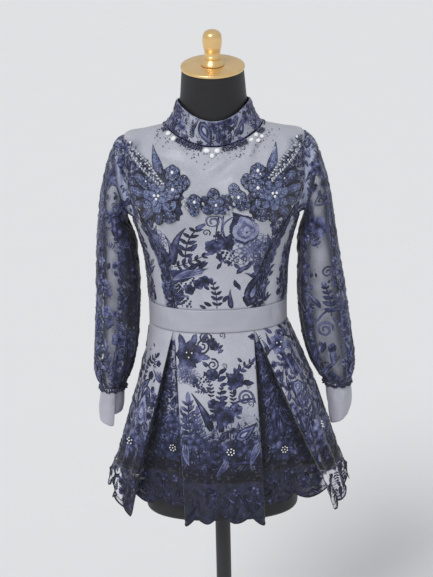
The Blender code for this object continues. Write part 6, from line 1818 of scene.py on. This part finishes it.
CHAIN = (
    (padded_flower(0.0095, 5, 0.25, 0.0016, 1), -0.0415, 1.2315, 0, 0.05, 0.0),
    (padded_flower(0.012, 5, 0.1, 0.0018, 1), 0.056, 1.245, 20, 0.0, 0.0),
    (padded_flower(0.011, 5, 0.3, 0.0018, 1), 0.0355, 1.269, 0, 0.05, 0.0),
    (padded_flower(0.018, 6, 0.22, 0.002, 2), 0.0005, 1.242, 0, 0.0, 0.001),
    (padded_flower(0.012, 5, 0.15, 0.0018, 1), -0.004, 1.26, 12, 0.0, 0.0),
    (padded_flower(0.01, 5, 0.18, 0.0016, 1), 0.014, 1.233, 50, 0.0, 0.0002),
    (padded_flower(0.01, 5, 0.15, 0.0016, 1), -0.014, 1.233, 30, 0.0, 0.0002),
    (padded_flower(0.014, 5, 0.2, 0.0018, 2), -0.042, 1.249, 10, 0.0, 0.0008),
    (padded_flower(0.009, 5, 0.2, 0.0016, 1), -0.019, 1.235, 30, 0.05, 0.0),
    (curl(0.012, 0.9, 0.0035, 0.75), 0.027, 1.253, -60, 0.1, 0.0014),
    (padded_flower(0.0145, 6, 0.12, 0.0018, 2), 0.045, 1.255, 0, 0.0, 0.001),
    (padded_flower(0.009, 5, 0.3, 0.0016, 1), 0.034, 1.268, 30, 0.05, 0.0),
    (padded_flower(0.009, 5, 0.12, 0.0016, 1), 0.048, 1.24, 20, 0.0, 0.0),
)


def couched_rayon():
    """Rayon cord and small beads couched side by side: 3.4 mm grains, blue-grey, painted
    lighter in each grain's middle as a highlight and darker between as shade.
    """
    finish, tree, shader = new_finish("couched_rayon_and_beads", Roughness=0.42, Sheen_Weight=0.3,
                                      Sheen_Roughness=0.35, Specular_IOR_Level=0.5)
    place = add(tree, "TexCoord", out="Object")
    tint = add(tree, "Attribute", attribute_name="tint", out="Fac")
    thread = thread_colour(tree, place, add(tree, "Math", {0: tint, 1: 0.1}, operation="ADD"))
    steel = add(tree, "MapRange", {0: tint, 1: 0.25, 2: 0.85, 3: 0.0, 4: 0.6})
    colour = add(tree, "Mix", {0: steel, 6: thread, 7: "#4f6488"})
    grains = add(tree, "TexVoronoi", {"Vector": place, "Scale": 290.0})
    # Painted highlight in each grain's middle and painted shade between the grains.
    grain_gap_shade = add(tree, "MapRange", {0: steel, 1: 0.1, 2: 0.5, 3: 0.34, 4: 0.66})
    shade = add(tree, "MapRange", {0: grains, 1: 0.12, 2: 0.6, 3: 1.75, 4: grain_gap_shade})
    colour_with_painted_shade = add(tree, "VectorMath", {0: colour, 3: shade}, operation="SCALE")
    bump = add(tree, "Bump", {"Height": shade, "Strength": 0.6, "Distance": 0.0007})
    plug(shader, Base_Color=colour_with_painted_shade, Normal=bump)
    return finish


couched = couched_rayon()
for name, hand, middle, outline, flowers, lift in (
        ("right", -1, CLUSTER_MIDDLE, CLUSTER_OUTLINE, CLUSTER, APPLIQUE_LIFT),
        ("left", 1, CLUSTER_MIDDLE, CLUSTER_OUTLINE, CLUSTER, APPLIQUE_LIFT),
        ("centre", 1, CHAIN_MIDDLE, CHAIN_OUTLINE, CHAIN, CHAIN_LIFT)):
    work = Front(front_ground)
    work.lay(patch(outline, lift), hand * middle[0], middle[1], 0, 1, -hand)
    for shape, x, z, degrees, light, off in flowers:
        work.lay(shape, hand * x, z, hand * radians(degrees), 1, hand, light, lift + APPLIQUE * 0.6 + off)
    applique = work.piece("applique_flowers_" + name, couched)
    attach(applique, "root")
    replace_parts(applique, "applique_" + name)


# ---- stones, pearls and beads
# Sewn on by hand: large white stones in three clusters on the neck seam with bunches of navy
# glass beads between, sprays of silvered oval beads from the shoulders to the bust, a pearl
# in the heart of each flower, and seed beads strewn below the neck.
CRYSTALS = (
    # angle, below, along, across
    (-58.0, 0.16, 0.0052, 0.0056), (-47.0, 0.2, 0.0056, 0.006), (-7.5, 0.2, 0.0066, 0.0056),
    (2.5, 0.2, 0.0058, 0.0056), (-2.0, 0.46, 0.005, 0.0052), (50.5, 0.16, 0.0048, 0.0046),
    (41.0, 0.22, 0.0052, 0.0046), (45.5, 0.46, 0.0048, 0.0046), (52.5, 0.42, 0.0044, 0.0046),
)
CRYSTAL_HEIGHT = 0.0042
NECK_ROWS, NECK_COLUMNS, NECK_DEPTH = 60, 240, 1.4       # of the stretch of bodice they are sewn to
BUNCHES = ((-43.5, -13.0), (8.5, 36.5), (57.0, 66.0), (-72.0, -64.0))
BUNCH_STEP, BUNCH_SWAY, BUNCH_ROWS = 2.7, 0.9, (0.05, 0.13, 0.23)
SEED_BEADS, SEED_REACH = 120, 75


def cut_glass(name, deep, pale, roughness, metallic=0.0):
    """Pressed and polished glass or metal: bright facets, a clear coat and a little cloud inside."""
    finish, tree, shader = new_finish(name, Metallic=metallic, Coat_Weight=0.8, Coat_Roughness=0.06)
    place = add(tree, "TexCoord", out="Object")
    cloudy = add(tree, "TexNoise", {"Vector": place, "Scale": 350.0, "Detail": 2.0})  # 3 mm
    shade = add(tree, "Mix", {0: cloudy, 6: deep, 7: pale})
    gloss = add(tree, "MapRange", {0: cloudy, 3: roughness * 0.6, 4: roughness * 1.4})
    plug(shader, Base_Color=shade, Roughness=gloss)
    return finish


def bead(radius, long=1.0, sides=7, rings=4):
    """A round or oval bead sitting on the cloth."""
    up, turn = np.linspace(0, pi, rings + 1)[:, None], np.linspace(0, 2 * pi, sides + 1)[None, :]
    return sheet_shape(radius * np.sin(up) * np.cos(turn), radius * long * np.cos(up) + 0 * turn,
                       radius * (0.85 + np.sin(up) * -np.sin(turn)), 0.0)


def stone(along, across, height):
    """A flat-backed cut stone: a table, slanting facets and a girdle."""
    rings = ((0.8, 0.0), (1.0, 0.22), (0.97, 0.36), (0.8, 0.72), (0.5, 1.0), (0.0, 1.04))
    turn = np.linspace(0, 2 * pi, 9)[None, :]
    scale, rise = (np.array([ring[k] for ring in rings])[:, None] for k in (0, 1))
    twist = turn + np.array((0, 0, pi / 8, pi / 8, 0, 0))[:, None]
    return sheet_shape(along * scale * np.cos(twist), across * scale * np.sin(twist),
                       height * rise + 0 * turn, 0.0)


def sewn(work, name, finish, flat=False):
    """Beads of one kind as one piece."""
    made = work.piece(name, finish)
    if flat:
        made.data.shade_flat()
    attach(made, "root")
    return made


neck_ground = Ground(np.array([body_ring(row, np.linspace(-pi, pi, NECK_COLUMNS, endpoint=False))
                               for row in np.linspace(0, NECK_DEPTH, NECK_ROWS)]), True)


def neck_place(degrees, below):
    """Row and column on the neck's ground at an angle round it and so many rings down."""
    return below / NECK_DEPTH * (NECK_ROWS - 1), (degrees + 180) / 360 * NECK_COLUMNS


stone_glass = cut_glass("cut_white_glass", "#e4e6ea", "#ffffff", 0.12)
for number, (degrees, below, along, across) in enumerate(CRYSTALS, 1):
    work = Embroidery(neck_ground)
    work.stitch(stone(along, across, CRYSTAL_HEIGHT), *neck_place(degrees, below), lift=APPLIQUE_LIFT)
    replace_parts(sewn(work, "white_stone_%d" % number, stone_glass, True), "crystal_%d" % number)

rng = np.random.default_rng(7)
navy, clear, seed = Embroidery(neck_ground), Embroidery(neck_ground), Embroidery(neck_ground)
for start, end in BUNCHES:
    for degrees in np.arange(start, end, BUNCH_STEP):
        for below in BUNCH_ROWS:
            one = bead(rng.uniform(0.0021, 0.003))
            turned = degrees + rng.uniform(-BUNCH_SWAY, BUNCH_SWAY)
            spot = neck_place(turned, below + rng.uniform(-0.02, 0.02))
            navy.stitch(one, *spot, lift=0.0006)
for degrees in np.arange(-175, 180, 6.5):
    if abs(degrees) > 72:
        navy.stitch(bead(0.0019), *neck_place(degrees, 0.08 + 0.02 * sin(degrees)), lift=0.0004)
for _ in range(SEED_BEADS):
    degrees, below = rng.uniform(-SEED_REACH, SEED_REACH), 0.3 + abs(rng.normal(0, 0.32))
    if below < 1.3:
        kind = seed if rng.uniform() < 0.6 else clear
        kind.stitch(bead(rng.uniform(0.0009, 0.0014)), *neck_place(degrees, below), lift=0.0002)
navy_glass = cut_glass("navy_seed_glass", "#14152a", "#3a3c66", 0.2)
silver_glass = cut_glass("silver_lined_glass", "#6f737e", "#c2c6d0", 0.2, 0.35)
pearl = cut_glass("glass_pearl", "#dfe2ea", "#f6f4f2", 0.2)
sewn(navy, "navy_beads_neck", navy_glass)
sewn(seed, "seed_beads_navy", navy_glass)
sewn(clear, "seed_beads_silver", silver_glass)

# The sprays run in rows beside a middle stem, their beads splayed like grains in an ear.
SPRAY_LANES = (
    # side, aside, bead's half width
    (-1, 0.003, 0.0024), (1, 0.003, 0.0024), (-1, 0.0066, 0.0024), (1, 0.0066, 0.0024), (0, 0.0, 0.0015),
)
SPRAY_STEPS, SPRAY_LIFT, FLOWER_LIFT = 15, 0.003, 0.0056
SPRAYS = {-1: ((-0.16, 1.338), (-0.1, 1.278)), 1: ((0.163, 1.342), (0.104, 1.284))}
silver, dark = Front(front_ground), Front(front_ground)
for hand, (start, end) in SPRAYS.items():
    start, run = np.array(start), np.array(end) - np.array(start)
    length = np.linalg.norm(run)
    heading = np.arctan2(-run[0], run[1])
    aside = np.array((run[1], -run[0])) / length
    dark.lay(leaf(length * 1.1, 0.019, 0, 0, 12), *(start - run * 0.05), heading, lift=0.0006)
    for i in range(SPRAY_STEPS):
        share = (i + 0.5) / SPRAY_STEPS
        wide = 0.55 + 0.45 * sin(pi * min(share * 1.2, 1))
        for lane, out, long in SPRAY_LANES:
            spot = start + run * (share + (0.02 if out > 0.005 else 0)) + aside * lane * out * wide
            kind = dark if (2 * i + 3 * lane + int(out * 400)) % 4 == 0 or not lane else silver
            one = bead(long * rng.uniform(0.85, 1.1), 1.45)
            kind.lay(one, *spot, heading - lane * rng.uniform(0.4, 0.9), lift=SPRAY_LIFT)
for x, z in ((0.036, 1.244), (0.0288, 1.2378), (-0.025, 1.245), (-0.0576, 1.253), (-0.0557, 1.2393),
             (0.033, 1.256), (0.023, 1.229), (-0.06, 1.246)):
    silver.lay(bead(0.0031, 1.25), x, z, 0.7, lift=SPRAY_LIFT)
SMALL_FLOWERS = (
    # x, z, reach of the ring of beads; first those of both clusters, then those of the chain
    (0.0815, 1.298, 0.0098), (0.08, 1.27, 0.0115), (0.062, 1.283, 0.009), (0.089, 1.222, 0.0095),
    (0.0005, 1.242, 0.0115), (-0.004, 1.26, 0.008), (-0.042, 1.249, 0.009), (0.045, 1.255, 0.0095),
    (0.056, 1.245, 0.008), (0.0355, 1.269, 0.0072),
)
small_flowers = [(hand * x, z, r) for x, z, r in SMALL_FLOWERS[:4] for hand in (-1, 1)] + [*SMALL_FLOWERS[4:]]
for x, z, reach in small_flowers:
    for i in range(6):
        turn = 2 * pi * i / 6 + 9 * z
        spot = (x + reach * cos(turn), z + reach * sin(turn))
        silver.lay(bead(0.001, 1.3, 6, 4), *spot, turn, lift=FLOWER_LIFT)
for hand in (-1, 1):
    for i in range(9):
        turn = 0.35 + 0.3 * i
        spot = (hand * (0.109 + 0.024 * cos(turn)), 1.256 + 0.024 * sin(turn))
        silver.lay(bead(0.0011), *spot, lift=FLOWER_LIFT)
sewn(silver, "silver_bead_sprays", silver_glass)
sewn(dark, "dark_bead_sprays", navy_glass)

HEART_REACH = 0.0062                                     # of the ring of pearls in a large flower
pearls = Front(front_ground)
for x, z, radius, off in ((0.0815, 1.298, 0.003, 0.0052), (0.08, 1.27, 0.003, 0.0062),
                          (0.106, 1.26, 0.0024, 0.0052), (0.113, 1.26, 0.0024, 0.0052),
                          (0.1095, 1.2545, 0.0024, 0.0052)):
    for hand in (-1, 1):
        pearls.lay(bead(radius, 1, 12, 8), hand * x, z, lift=off)
for x, z in ((0.0005, 1.242), (-0.042, 1.249), (0.045, 1.255)):
    pearls.lay(bead(0.0028, 1, 10, 6), x, z, lift=0.006)
for x, z in ((0.159, 1.35), (-0.161, 1.347), (0.086, 1.293), (0.129, 1.284), (-0.129, 1.284)):
    pearls.lay(bead(0.0017, 1, 12, 8), x, z, lift=0.005)
sewn(pearls, "pearls_bust", pearl)
hearts = Embroidery(Ground(peplum_grid("front", heights)))
one = bead(0.0016, 1, 10, 6)
for x, z, count in ((0.0189, 0.7415, 7), (-0.097, 0.73, 7), (0.1278, 0.7205, 7), (0.2042, 0.7626, 6),
                    (-0.1853, 0.7365, 5), (-0.0585, 0.9325, 3), (0.1188, 0.9397, 3)):
    angles = [2 * pi * i / count + 0.5 for i in range(count)]
    ring = [placed(one, HEART_REACH * cos(a), HEART_REACH * sin(a)) for a in angles]
    ring += [one] if count > 3 else []
    row, column = hearts.ground.locate((x,), (z,))
    hearts.stitch(together(ring), row[0], column[0], lift=0.0026)
sewn(hearts, "pearls_peplum", pearl)


# ---- studio
# A pale floor that runs out of sight, a broad soft key from the front left and an even fill.
def studio_floor():
    """Painted floor: pale and matt with a barely visible mottle."""
    finish, tree, shader = new_finish("painted_studio_floor", Roughness=0.9, Specular_IOR_Level=0.1)
    place = add(tree, "TexCoord", out="Object")
    mottle = add(tree, "TexNoise", {"Vector": place, "Scale": 3.0, "Detail": 3.0})
    shade = add(tree, "Mix", {0: mottle, 6: "#f2f2f2", 7: "#f4f4f4"})
    plug(shader, Base_Color=shade)
    return finish


FLOOR_REACH = 60.0
corners = np.array([(x, y, 0.0) for x, y in ((-1, -1), (1, -1), (1, 1), (-1, 1))]) * FLOOR_REACH
floor = new_piece("studio_floor", corners, np.array([(0, 1, 2, 3)]), studio_floor(), corners[:, :2])

key = bpy.data.lights.new("key_sun", "SUN")
key.energy, key.angle = 1.55, radians(24)
sun = bpy.data.objects.new("key_sun", key)
sun.location = (0.0, 0.0, 3.0)
sun.rotation_euler = [radians(a) for a in (42, -28, 0)]
bpy.context.scene.collection.objects.link(sun)

world = bpy.data.worlds.new("studio_fill")
world.use_nodes = True
world.node_tree.nodes["Background"].inputs["Color"].default_value = tone_of("#eef0f4")
world.node_tree.nodes["Background"].inputs["Strength"].default_value = 0.6
bpy.context.scene.world = world
bpy.context.scene.view_settings.view_transform = "Standard"
bpy.context.scene.view_settings.look = "None"

lens = bpy.data.cameras.new("studio_camera")
lens.lens, lens.sensor_width, lens.clip_end = 89.34, 36.0, 200.0
lens.dof.use_dof = False
camera = bpy.data.objects.new("studio_camera", lens)
camera.location = (0.0, -2.8, 1.86)
camera.rotation_euler = [radians(a) for a in (73.5834, 1.2470, -0.3203)]
bpy.context.scene.collection.objects.link(camera)
bpy.context.scene.camera = camera
